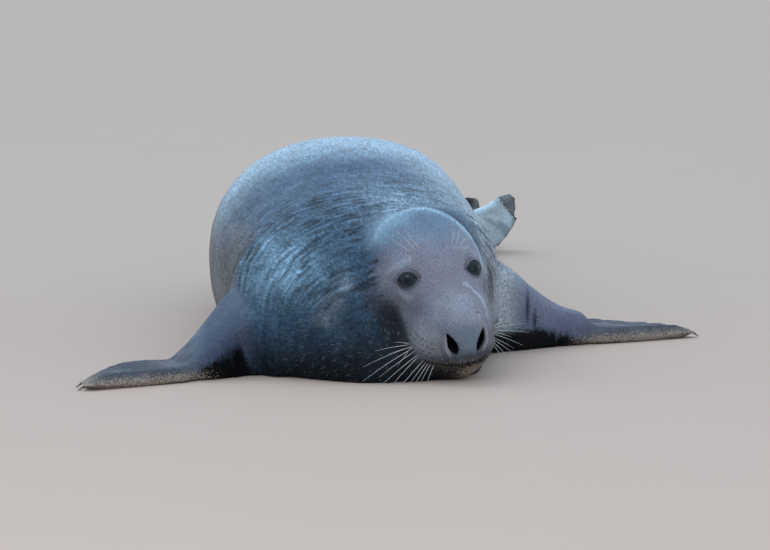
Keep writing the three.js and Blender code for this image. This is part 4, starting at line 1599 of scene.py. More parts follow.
class Painter:
    """Stores on the skin what finish and coat read: colours, wetness, dust and the lie of the hair."""

    def __init__(self, surface: Surface, face: Face) -> None:
        """Reads the places and regions of the sculpted skin.

        Args:
            surface: the sculpted skin.
            face: the head's landmarks.
        """
        self.surface, self.face = surface, face
        self.points, self.normals = surface.co, surface.normals()
        self.across, self.high = self.points[:, 0], self.points[:, 2]
        rooted = smoothstep(0.190, 0.228, self.across) + smoothstep(-0.235, -0.270, self.across)
        surface.put("fore", surface.get("fore") * rooted)
        self.local = HEAD.inside(self.points)
        self.straight, self.heading = SPINE.straighten(self.points)
        self.head, self.fore, self.hind = (surface.get(name) for name in ("head", "fore", "hind"))
        self.limb = surface.share_of("fore", "hind")
        self.nose = smoothstep(1.14, 0.80, face.nose_pad(self.local)) * self.head
        self.to_claw = from_claws(self.points)
        self.limb_way = self._limb_direction()
        self.colours = np.tile(np.array(Hue.SLATE), (len(self.points), 1))

    def paint(self) -> None:
        """Stores the lie of the hair, the straightened places, the wear and the colours."""
        map_places(self.surface, self.face.muzzle_tip)
        self._comb()
        self._wear()
        self._lay_ground()
        self._lay_trunk()
        self._lay_arms()
        self._lay_hind()
        self._lay_muzzle()
        self._lay_eyes()
        self._lay_small_marks()
        tint = np.concatenate([self.colours, np.ones((len(self.colours), 1))], 1)
        self.surface.put("tint", tint)

    def _limb_direction(self) -> np.ndarray:
        """For each place, the way from the nearest limb's own middle to its claws."""
        middles, ways = [], []
        for limb in Flesh.FORE.value + Flesh.HIND.value[:2]:
            claws = limb.replace("flipper", "claw")
            tips = sum((centre_of(f"{claws}_{digit}") for digit in DIGITS), Vector()) / len(DIGITS)
            middle = centre_of(limb)
            middles.append(middle)
            ways.append((tips - middle).normalized())
        away = np.linalg.norm(self.points[:, None] - np.array(middles)[None], axis=2)
        return np.array(ways)[away.argmin(1)]

    def _comb(self) -> None:
        """Stores which way the hair lies: back from the muzzle, down over the trunk, out along the limbs."""
        normals, level = self.normals, np.zeros(len(self.points))
        droop = np.stack([level, level, -0.35 * (1.0 - normals[:, 2])], 1)
        trunk = 1.0 - self.surface.share_of("head", "fore", "hind")
        lie = (self.heading + droop) * trunk[:, None]
        lie += HEAD.directions(unit(self.local - np.array(self.face.muzzle_tip))) * self.head[:, None]
        lie += self.limb_way * self.limb[:, None]
        self.surface.put("lie", tangential(lie, normals))

    def _wear(self) -> None:
        """Stores where the skin is bare, scratched, dusty and wet."""
        surface, local, limb, high = self.surface, self.local, self.limb, self.high
        surface.put("nose", self.nose)
        surface.put("stroke", np.full(len(self.points), 0.5))
        surface.put("bare", np.clip(limb * 0.85 + self.nose, 0.0, 1.0))
        scratch = smoothstep(0.42, 0.05, self.straight[:, 1]) * (1.0 - self.head * 0.8) * (1.0 - limb)
        surface.put("scratch", scratch * (0.25 + 0.75 * smoothstep(0.20, 0.08, high)))
        dust = self.fore * smoothstep(28.0 * MM, 8.0 * MM, high) * 0.55 * smoothstep(0.22, 0.15, self.to_claw)
        lip = smoothstep(95.0 * MM, 120.0 * MM, local[:, 1]) * smoothstep(-68.0 * MM, -84.0 * MM, local[:, 2])
        chin = smoothstep(-96.0 * MM, -108.0 * MM, local[:, 2])
        chin *= smoothstep(22.0 * MM, -8.0 * MM, local[:, 0])
        surface.put("dust", np.clip(dust + lip * self.head * (0.16 + 0.42 * chin), 0.0, 1.0))
        wet = smoothstep(0.05, 0.26, high) * (1.0 - limb)
        wet += 0.5 * limb * smoothstep(-0.1, 0.5, self.normals[:, 2])
        wet *= 0.35 + 0.65 * smoothstep(0.44, 0.74, self.straight[:, 1])
        wet = np.clip(wet * (1.0 - surface.get("right_hind")) * (1.0 - 0.45 * self.head), 0.0, 1.0)
        surface.put("wet", wet * (1.0 - 0.8 * surface.get("shade")))

    def _lay(self, colour: Colour, share: np.ndarray) -> None:
        """Lays a colour over the ones painted so far, as far as the share goes."""
        self.colours += (np.array(colour) - self.colours) * np.clip(share, 0.0, 1.0)[:, None]

    def _lay_ground(self) -> None:
        """Lays the mottled ground colour, the face's own colour, the markings and the lines."""
        mottle = layered_noise(self.straight * (11.0, 8.0, 11.0), 21)
        self._lay(Hue.DARK_MOTTLE, smoothstep(0.45, 0.75, mottle) * 0.5)
        self._lay(Hue.LIGHT_MOTTLE, smoothstep(0.55, 0.25, mottle) * 0.4)
        self._lay(Hue.MAUVE, smoothstep(1.20, 0.80, self.face.mask(self.local)))
        for marking in MARKINGS:
            self._lay(marking.colour, marking.weight(self.points, self.local))
        for line in LINES:
            self._lay(line.colour, line.weight(self.local) * self.head)

    def _lay_trunk(self) -> None:
        """Lays a painted sheen over the rump; the flank's colour behind the fold between shoulder and flank, a
        painted highlight on the shoulder's edge and painted shade in the step; and a painted sheen and
        highlight on the rims of the crown, with painted shade in the groove behind them.
        """
        high, rear = self.high, self.straight[:, 1]
        # painted sheen: a pale band over the top of the rump
        pale = smoothstep(0.42, 0.78, rear) * smoothstep(1.45, 1.05, rear) * smoothstep(0.15, 0.27, high)
        self._lay(Hue.RUMP, pale * 0.94)
        behind = behind_shoulder(self.straight)
        side = smoothstep(0.05, 0.12, -self.straight[:, 0]) * (1.0 - self.fore)
        fold = side * smoothstep(0.250, 0.205, high)
        flank = smoothstep(-1.0 * MM, 4.0 * MM, behind) * smoothstep(0.2, 0.1, behind)
        self._lay(Hue.FLANK, fold * flank * 0.7)
        # a painted highlight on the shoulder's edge over the fold, and painted shade in the step behind it
        self._lay(Hue.SHOULDER_EDGE, fold * bell(behind + 16.0 * MM, 12.0 * MM) * 0.7)
        self._lay(Hue.NIGHT, fold * bell(behind - 2.0 * MM, 3.0 * MM) * 0.6)
        past, near, soft = self.face.past_crown(self.local)
        # a painted sheen and highlight on the crown's rims, and painted shade in the groove behind them
        self._lay(Hue.CROWN_GLOW, bell(past + 8.0 * MM, 22.0 * MM) * near * soft * 0.75)
        self._lay(Hue.CROWN_RIM, bell(past + 3.0 * MM, 5.0 * MM) * near * (0.8 - 0.5 * soft))
        self._lay(Hue.CROWN_GROOVE, bell(past - 11.0 * MM, 6.0 * MM) * near * 0.6 * (1.0 - soft))

    def _streaks(self) -> np.ndarray:
        """Streaks that run along each limb, from 0 to 1."""
        along = (self.points * self.limb_way).sum(1)[:, None]
        return layered_noise((self.points - self.limb_way * along * 0.85) * 90.0, 31)

    def _lay_arms(self) -> None:
        """Lays the colours of arms and hands, with painted light and glints on them, the painted black shadow
        under them, and painted shade in the creases at the left arm's root.
        """
        across, fore = self.across, self.fore
        self._lay(Hue.ARM, fore * 0.9)
        arm = fore * (across < 0.0) * smoothstep(0.10, 0.16, self.to_claw)
        self._lay(Hue.SHADED_ARM, arm * 0.9)
        # a painted lit band on the outer forearm of the shaded arm
        self._lay(Hue.SHADED_ELBOW, arm * smoothstep(-0.315, -0.340, across) * 0.8)
        hand = fore * smoothstep(0.19, 0.14, self.to_claw)
        self._lay(Hue.HAND, hand * 0.8)
        # painted wet glints in streaks along the hands
        self._lay(Hue.HAND_STREAK, hand * smoothstep(0.50, 0.70, self._streaks()) * 0.8)
        # the heights below which the hanging skin under each arm takes painted shadow
        left_shadow_top = np.clip(0.010 + 0.35 * (0.325 - across), 0.006, 0.036)
        right_shadow_top = np.minimum(0.006 + 0.66 * (0.345 + across), 2.4 * (-0.240 - across))
        above = self.high - np.where(across > 0.0, left_shadow_top, np.clip(right_shadow_top, -0.01, 0.055))
        shade = smoothstep(0.12, 0.45, self.surface.get("shade"))
        # painted light on the hanging skin above that height, and painted black shadow below it
        self._lay(Hue.UNDER_ARM, shade * smoothstep(0.0, 6.0 * MM, above) * fore * 0.5)
        self._lay(Hue.GAP, shade * smoothstep(4.0 * MM, -3.0 * MM, above))
        # painted shade in the creases at the left arm's root
        for crease in ARM_CREASES:
            self._lay(Hue.CREASE, crease.weight(self.points, 3.0 * MM) * 0.9)

    def _lay_hind(self) -> None:
        """Lays the left hind flipper pale as a painted wet sheen, with its pleats and folded dark tip, painted
        shade along the fold, and painted shade over the right one.
        """
        across, high, hind, right = self.across, self.high, self.hind, self.surface.get("right_hind")
        streaks = self._streaks()
        # painted wet sheen: the hind flippers are laid pale
        self._lay(Hue.HIND, hind * 0.92)
        self._lay(Hue.HIND_STREAK, hind * smoothstep(0.45, 0.75, streaks) * 0.5)
        over, along = 0.68 * across + 0.73 * high, 0.73 * across - 0.68 * high
        pleats = layered_noise(np.stack([over * 105.0, self.points[:, 1] * 8.0, along * 16.0], 1), 41, 2)
        self._lay(Hue.HIND_PLEAT, hind * smoothstep(0.52, 0.40, pleats) * 0.6)
        folded = (0.817 * (across - 0.213) + 0.577 * (high - 0.0935)) * hind * (1.0 - right)
        self._lay(Hue.FOLDED_TIP, smoothstep(0.0, 4.0 * MM, folded) * (0.6 + 0.4 * streaks))
        # painted shade along the fold of the left hind flipper's tip
        self._lay(Hue.DARK_FOLD, bell(folded - 1.0 * MM, 2.2 * MM) * hind * (folded != 0.0))
        self._lay(Hue.HIND_TOE, hind * smoothstep(30.0 * MM, 14.0 * MM, self.to_claw) * 0.7)
        # painted shade over the far, right hind flipper
        self._lay(Hue.RIGHT_HIND, right * 0.98)

    def _lay_muzzle(self) -> None:
        """Lays painted light on the side of the muzzle, painted shade on the cheeks, the nose pad and its
        nostrils, with painted shade round and inside the nostrils.
        """
        local, nose, aside = self.local, self.nose, np.abs(self.local[:, 0])
        ahead = smoothstep(5.0 * MM, 40.0 * MM, local[:, 1]) * smoothstep(-20.0 * MM, -42.0 * MM, local[:, 2])
        # painted light on the side of the muzzle inside its edge
        lit = smoothstep(78.0 * MM, 71.0 * MM, aside) * smoothstep(-80.0 * MM, -66.0 * MM, local[:, 2])
        self._lay(Hue.MUZZLE_SIDE, lit * ahead * self.head * 0.6)
        wide = np.where(local[:, 0] > 0.0, 132.0 * MM, 100.0 * MM) - aside
        # painted shade on the cheeks past the muzzle's edge
        cheek = smoothstep(75.0 * MM, 83.0 * MM, aside) * smoothstep(0.0, 26.0 * MM, wide)
        self._lay(Hue.CHEEK, cheek * ahead * 0.92)
        self._lay(Hue.NOSE_PAD, nose * (1.0 - 0.55 * smoothstep(13.0 * MM, 24.0 * MM, aside)))
        self._lay(Hue.UNDER_NOSE, nose * smoothstep(-60.0 * MM, -76.0 * MM, local[:, 2]) * 0.7)
        for nostril in self.face.nostrils:
            around, outer = nostril.around(local), smoothstep(0.0, 8.0 * MM, nostril.outward(local)) * nose
            self._lay(Hue.NOSTRIL_WING, bell(around - 1.50, 0.30) * outer * 0.85)
            # painted shade in the crease outside each nostril's wing
            self._lay(Hue.NOSTRIL_EDGE, bell(around - 2.40, 0.18) * outer * 0.8)
        # painted shade inside the nostrils, as deep as they are sunk
        self._lay(Hue.NOSTRIL, self.surface.get("nostril"))
        self._lay(Hue.FOLLICLE, self.surface.get("follicle") * 0.8)

    def _lay_eyes(self) -> None:
        """Lays the dark lids, and painted shade in the fold round each eye."""
        for eye in self.face.eyes:
            around, away, out = eye.opening(self.local)
            near = eye.near(away, out)
            self._lay(Hue.EYE_RING, smoothstep(1.75, 1.2, around) * near * 0.55)
            self._lay(Hue.LID, smoothstep(1.22, 1.06, around) * near)
            # painted shade in the fold round the eye
            self._lay(Hue.LID_FOLD, bell(around - 1.58, 0.09) * near * 0.5)

    def _lay_small_marks(self) -> None:
        """Lays the mouth's line, painted shade in the ear holes, a spot on the muzzle and the shade near the
        floor.
        """
        face, local = self.face, self.local
        mouth = bell(face.above_lips(local), 4.0 * MM) * self.head * (local[:, 1] > 20.0 * MM)
        self._lay(Hue.MOUTH, mouth)
        # painted shade in the ear holes
        for ear in mirrored(face.ear, True):
            self._lay(Hue.EAR, bell(distance(local, ear * MM), 4.5 * MM))
        self._lay(Hue.SPOT, smoothstep(2.6 * MM, 1.4 * MM, distance(local, np.array(face.spot) * MM)))
        trunk = (1.0 - self.fore) * (1.0 - self.hind) * (1.0 - self.head)
        self._lay(Hue.FLOOR_SHADE, smoothstep(0.075, 0.0, self.high) * trunk * 0.8)


# ---------------------------------------------------------------- the coat


class GeometryTree(NodeTree):
    """A Geometry Nodes tree built by calls."""

    def __init__(self, name: str) -> None:
        """Makes an empty tree with a geometry input and output."""
        super().__init__(bpy.data.node_groups.new(name, "GeometryNodeTree"))
        self.tree.is_modifier = True
        self.inputs: dict[str, str] = {}
        for way in ("INPUT", "OUTPUT"):
            self.tree.interface.new_socket("Geometry", in_out=way, socket_type="NodeSocketGeometry")
        self.start = self.tree.nodes.new("NodeGroupInput")
        self.end = self.tree.nodes.new("NodeGroupOutput")

    def input(self, name: str, kind: str, value: object = None) -> bpy.types.NodeSocket:
        """Adds a named input and returns its socket inside the tree."""
        made = self.tree.interface.new_socket(name, in_out="INPUT", socket_type=kind)
        if value is not None:
            made.default_value = value
        self.inputs[name] = made.identifier
        return next(socket for socket in self.start.outputs if socket.identifier == made.identifier)

    def named(self, name: str | bpy.types.NodeSocket, kind: str = "FLOAT_VECTOR") -> bpy.types.NodeSocket:
        """Reads a named attribute of the mesh."""
        return self.add("GeometryNodeInputNamedAttribute", {"data_type": kind}, {"Name": name}, "Attribute")

    def store(
        self,
        geometry: bpy.types.NodeSocket,
        name: str,
        value: bpy.types.NodeSocket,
        kind: str = "FLOAT",
        domain: str = "POINT",
    ) -> bpy.types.NodeSocket:
        """Stores a named attribute on the geometry.

        Args:
            geometry: what to store it on.
            name: the attribute's name.
            value: what to store.
            kind: its data type.
            domain: where the values lie.

        Returns:
            The geometry with the attribute.
        """
        inputs = {"Geometry": geometry, "Name": name, "Value": value}
        return self.add("GeometryNodeStoreNamedAttribute", {"data_type": kind, "domain": domain}, inputs)

    def times(self, one: object, other: object) -> bpy.types.NodeSocket:
        """The product of two numbers."""
        return self.add("ShaderNodeMath", {"operation": "MULTIPLY"}, {0: one, 1: other})

    def vector(self, operation: str, one: object, other: object) -> bpy.types.NodeSocket:
        """Calculates with two vectors."""
        return self.add("ShaderNodeVectorMath", {"operation": operation}, {0: one, 1: other}, "Vector")

    def scaled(self, vector: object, scale: object) -> bpy.types.NodeSocket:
        """A vector times a number."""
        return self.add("ShaderNodeVectorMath", {"operation": "SCALE"}, {0: vector, "Scale": scale}, "Vector")

    def random(self, low: float, high: float, seed: int) -> bpy.types.NodeSocket:
        """A random number for each point."""
        return self.add("FunctionNodeRandomValue", {"data_type": "FLOAT"}, {2: low, 3: high, "Seed": seed}, 1)

    def finish(self, geometry: bpy.types.NodeSocket, material: bpy.types.NodeSocket) -> None:
        """Gives the geometry its material and links it to the output."""
        dressed = self.add("GeometryNodeSetMaterial", {}, {"Geometry": geometry, "Material": material})
        self.tree.links.new(dressed, self.end.inputs[0])

    def run(self, piece: bpy.types.Object, values: dict[str, object]) -> bpy.types.Mesh:
        """Evaluates the tree on a piece with these input values and returns the plain mesh."""
        modifier = piece.modifiers.new(self.tree.name, "NODES")
        modifier.node_group = self.tree
        for name, value in values.items():
            modifier[self.inputs[name]] = value
        return applied(piece)


@dataclass(frozen=True)
class Patch:
    """A stretch of the coat with its own size of tuft.

    Attributes:
        name: the piece's name.
        mask: the attribute that, times the density, says where tufts grow.
        density: tufts per square metre.
        length: a tuft's length.
        width: a tuft's width.
        lift: how steeply the tufts stand off the skin, in degrees.
        seed: the patch's own pattern.
        slot: its material slot; not used.
    """

    name: str
    mask: str
    density: float
    length: float
    width: float
    lift: float
    seed: int
    slot: Slot = Slot.COAT


@dataclass
class Coat:
    """The short coat: flat tufts that lie back over the skin.

    Attributes:
        thickness: a tuft's thickness in shares of its width.
        sink: how deep the tufts start under the skin.
        own_shade: how far a tuft's own shape, beside the skin's, shows in its shading.
        dropped: what only the growing needs, apart from the masks.
        patches: the stretches of the coat.
    """

    thickness: float = 0.09
    sink: float = 0.06 * MM
    own_shade: float = 0.22
    dropped: tuple[str, ...] = (
        "up", "on_tuft", "lie", "fore", "hind", "nose", "nostril", "shade", "follicle",
    )
    patches: tuple[Patch, ...] = (
        Patch("fur_face", "grow_face", 120000.0, 4.6 * MM, 0.80 * MM, 2.5, 1, Slot.FACE),
        Patch("fur_crown", "grow_crown", 80000.0, 8.0 * MM, 1.1 * MM, 2.5, 2),
        Patch("fur_nape", "grow_nape", 42000.0, 14.0 * MM, 1.5 * MM, 3.0, 3),
        Patch("fur_chest", "grow_chest", 60000.0, 8.0 * MM, 1.0 * MM, 5.0, 4),
        Patch("fur_back", "grow_back", 22000.0, 17.0 * MM, 1.6 * MM, 1.5, 5),
        Patch("fur_flanks", "grow_flanks", 22000.0, 17.0 * MM, 1.6 * MM, 1.5, 6),
        Patch("fur_hips", "grow_hips", 26000.0, 13.0 * MM, 1.5 * MM, 2.0, 7),
        Patch("fur_flippers", "grow_flippers", 45000.0, 7.5 * MM, 1.1 * MM, 2.0, 8),
    )

    def build(self, skin: Skin) -> None:
        """Grows each patch on the skin and attaches it."""
        self._mark(skin)
        tuft = new_object("tuft_shape", self._tuft())
        tree = self._tree()
        for patch in self.patches:
            values = {
                "Tuft": tuft,
                "Mask": patch.mask,
                "Density": patch.density,
                "Length": patch.length,
                "Width": patch.width,
                "Thickness": patch.width * self.thickness,
                "Lift": math.tan(math.radians(patch.lift)),
                "Sink": self.sink,
                "Seed": patch.seed,
                "Material": skin.piece.data.materials[0],
            }
            mesh = tree.run(skin.piece, values)
            mesh.name = patch.name
            self._tidy(mesh, skin)
            finish_piece(new_object(patch.name, mesh))
        bpy.data.objects.remove(tuft)

    @staticmethod
    def _mark(skin: Skin) -> None:
        """Stores where each patch grows, as attributes of the skin."""
        surface = skin.surface
        points, normals = surface.co, surface.normals()
        surface.put("up", normals)
        local = HEAD.inside(points)
        straight, _ = SPINE.straighten(points)
        head, limb = surface.get("head"), surface.share_of("fore", "hind")
        clear = smoothstep(-0.75, -0.35, normals[:, 2]) * (points[:, 2] > 5.0 * MM)
        fur = clear * (1.0 - surface.get("nose"))
        for eye in skin.face.eyes:
            around, _, out = eye.opening(local)
            fur *= np.where(out > 0.0, smoothstep(1.35, 1.75, around), 1.0)
        face = smoothstep(-60.0 * MM, -40.0 * MM, local[:, 1]) * head
        trunk = (1.0 - head) * (1.0 - limb)
        front = straight[:, 1] < 0.30
        low = points[:, 2] < 0.15
        rear = straight[:, 1] > 1.05
        masks = {
            "grow_face": face,
            "grow_crown": head * (1.0 - face),
            "grow_nape": trunk * (front & ~low),
            "grow_chest": trunk * (front & low),
            "grow_back": trunk * (~front & ~rear & ~low),
            "grow_flanks": trunk * (~front & ~rear & low),
            "grow_hips": trunk * rear,
            "grow_flippers": limb * smoothstep(0.015, 0.035, from_claws(points)),
        }
        for name, mask in masks.items():
            surface.put(name, mask * fur)

    @staticmethod
    def _tuft() -> bpy.types.Mesh:
        """One closed tuft of unit size: it lies along +y, and its crest points to +z."""
        rings = ((0.0, 0.36, -0.10, 0.55), (0.5, 0.50, 0.25, 1.0))
        work = bmesh.new()
        loops = []
        for along, half, low, crest in rings:
            corners = ((-half, along, low), (half, along, low), (0.0, along, crest))
            loops.append([work.verts.new(corner) for corner in corners])
        tip = work.verts.new((0.0, 1.0, 0.35))
        work.faces.new(loops[0])
        for number in range(3):
            following = (number + 1) % 3
            work.faces.new((loops[0][following], loops[0][number], loops[1][number], loops[1][following]))
            work.faces.new((loops[1][following], loops[1][number], tip))
        bmesh.ops.recalc_face_normals(work, faces=work.faces)
        return mesh_of(work, "tuft_shape")

    @staticmethod
    def _tree() -> GeometryTree:
        """The tree that scatters tufts over a mesh along its lie, each with its own patch of the bake map."""
        make = GeometryTree("grow_tufts")
        tuft = make.input("Tuft", "NodeSocketObject")
        mask = make.input("Mask", "NodeSocketString", "")
        names = ("Density", "Length", "Width", "Thickness", "Lift", "Sink")
        numbers = [make.input(name, "NodeSocketFloat", 1.0) for name in names]
        density, length, width, thickness, lift, sink = numbers
        seed = make.input("Seed", "NodeSocketInt", 1)
        material = make.input("Material", "NodeSocketMaterial")

        grows = make.times(make.named(mask, "FLOAT"), density)
        scatter = {"Mesh": make.start.outputs[0], "Density": grows, "Seed": seed}
        scattered = make.add("GeometryNodeDistributePointsOnFaces", {}, scatter, "Points")
        out, lie = make.named("up"), make.named("lie")
        stray = make.scaled(make.vector("CROSS_PRODUCT", out, lie), make.random(-0.30, 0.30, 11))
        raised = make.scaled(out, make.times(lift, make.random(0.2, 1.6, 12)))
        along = make.vector("ADD", make.vector("ADD", lie, stray), raised)
        axes = {"primary_axis": "Y", "secondary_axis": "Z"}
        turn = make.add("FunctionNodeAxesToRotation", axes, {"Primary Axis": along, "Secondary Axis": out})
        down = make.scaled(out, make.times(sink, -1.0))
        sunk = make.add("GeometryNodeSetPosition", {}, {"Geometry": scattered, "Offset": down})
        sizes = {
            0: make.times(width, make.random(0.7, 1.3, 13)),
            1: make.times(length, make.random(0.65, 1.35, 14)),
            2: make.times(thickness, make.random(0.7, 1.3, 15)),
        }
        size = make.add("ShaderNodeCombineXYZ", {}, sizes)
        shape = make.add("GeometryNodeObjectInfo", {}, {"Object": tuft}, "Geometry")
        tagged = make.store(shape, "on_tuft", make.add("GeometryNodeInputPosition"), "FLOAT_VECTOR")
        instances = {"Points": sunk, "Instance": tagged, "Rotation": turn, "Scale": size}
        grown = make.add("GeometryNodeInstanceOnPoints", {}, instances)
        shaded = make.store(grown, "stroke", make.random(0.0, 1.0, 16), domain="INSTANCE")
        real = make.add("GeometryNodeRealizeInstances", {}, {"Geometry": shaded})
        patch = make.scaled(make.vector("SUBTRACT", make.named("on_tuft"), (0.0, 0.5, 0.0)), 0.003)
        unwrapped = make.vector("ADD", make.named(BAKE_MAP), patch)
        make.finish(make.store(real, BAKE_MAP, unwrapped, "FLOAT2", "CORNER"), material)
        return make

    def _tidy(self, mesh: bpy.types.Mesh, skin: Skin) -> None:
        """Shades the tufts mostly as the skin under them and drops what only the growing needed.

        Args:
            mesh: one patch of tufts.
            skin: the skin it grows on.
        """
        surface = Surface(mesh)
        surface.keep_above()
        surface.write()
        shade_smooth(mesh)
        map_places(surface, skin.face.muzzle_tip)
        shading = unit(surface.vectors("up") + self.own_shade * surface.normals())
        for name in [layer.name for layer in mesh.attributes]:
            if name in self.dropped or name.startswith("grow_"):
                mesh.attributes.remove(mesh.attributes[name])
        mesh.normals_split_custom_set_from_vertices(shading)


# ---------------------------------------------------------------- eyes


@dataclass
class Eyeball:
    """A smooth wet eyeball with the margin of its lids.

    Attributes:
        eye: its place, size and opening.
        segments: the eyeball's steps round the gaze.
        rings: its steps along the gaze.
        margin: the half thickness of the lid margin.
        margin_steps: steps along the margin.
        margin_sides: steps round it.
    """

    eye: Eye
    segments: int = 48
    rings: int = 32
    margin: float = 0.85 * MM
    margin_steps: int = 72
    margin_sides: int = 8

    def build(self) -> None:
        """Makes and attaches the eyeball and the lid margin."""
        self._globe()
        self._lid_margin()

    def _globe(self) -> None:
        """The eyeball, with each vertex's angle from the gaze stored on it."""
        centre = HEAD.outside(self.eye.centre()[None])[0]
        axes = HEAD.directions(self.eye.axes())
        work = bmesh.new()
        steps = {"u_segments": self.segments, "v_segments": self.rings}
        bmesh.ops.create_uvsphere(work, radius=self.eye.radius, **steps)
        mesh = mesh_of(work, f"eyeball_{self.eye.side.word}")
        surface = Surface(mesh)
        own = surface.co / self.eye.radius
        surface.put("axis_turn", np.arccos(np.clip(own[:, 2], -1.0, 1.0)))
        surface.put("ray", own)
        surface.co = surface.co @ axes + centre
        surface.write()
        piece = smooth_piece(mesh, EyeFinish().build())
        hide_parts(f"eye_{self.eye.side.word}")

    def _lid_margin(self) -> None:
        """A thin dark tube that lies on the eyeball along the rim of the opening."""
        work = bmesh.new()
        turns = [2 * math.pi * step / self.margin_steps for step in range(self.margin_steps)]
        rings = [[work.verts.new(place) for place in self._margin_ring(turn)] for turn in turns]
        for step, ring in enumerate(rings):
            following = rings[(step + 1) % self.margin_steps]
            for side in range(self.margin_sides):
                other = (side + 1) % self.margin_sides
                work.faces.new((ring[side], ring[other], following[other], following[side]))
        bmesh.ops.recalc_face_normals(work, faces=work.faces)
        smooth_piece(mesh_of(work, f"lid_margin_{self.eye.side.word}"), LidFinish().build())

    def _margin_ring(self, turn: float) -> list[np.ndarray]:
        """One ring of places round the margin's tube, where its rim meets a ray turned by the angle."""
        eye = self.eye
        before, here, after = (np.array(eye.rim(turn + nudge)) for nudge in (-0.02, 0.0, 0.02))
        across, up = here
        out = math.sqrt(eye.radius**2 - across**2 - up**2)
        middle = np.array((across, up, out)) * (1.0 + 0.4 * self.margin / eye.radius)
        ahead = unit(np.array((*(after - before), 0.0)))
        raised = unit(middle)
        beside = np.cross(ahead, raised)
        ring = []
        for side in range(self.margin_sides):
            angle = 2 * math.pi * side / self.margin_sides
            place = middle + self.margin * (1.7 * math.cos(angle) * beside + math.sin(angle) * raised)
            local = eye.centre() + place @ eye.axes()
            ring.append(HEAD.outside(local[None])[0])
        return ring


# ---------------------------------------------------------------- whiskers


@dataclass(frozen=True)
class Whisker:
    """One whisker: its root in the head's frame, its direction in the part's, its length and thickness."""

    root: Point
    aim: Point
    length: float
    radius: float = 0.62 * MM


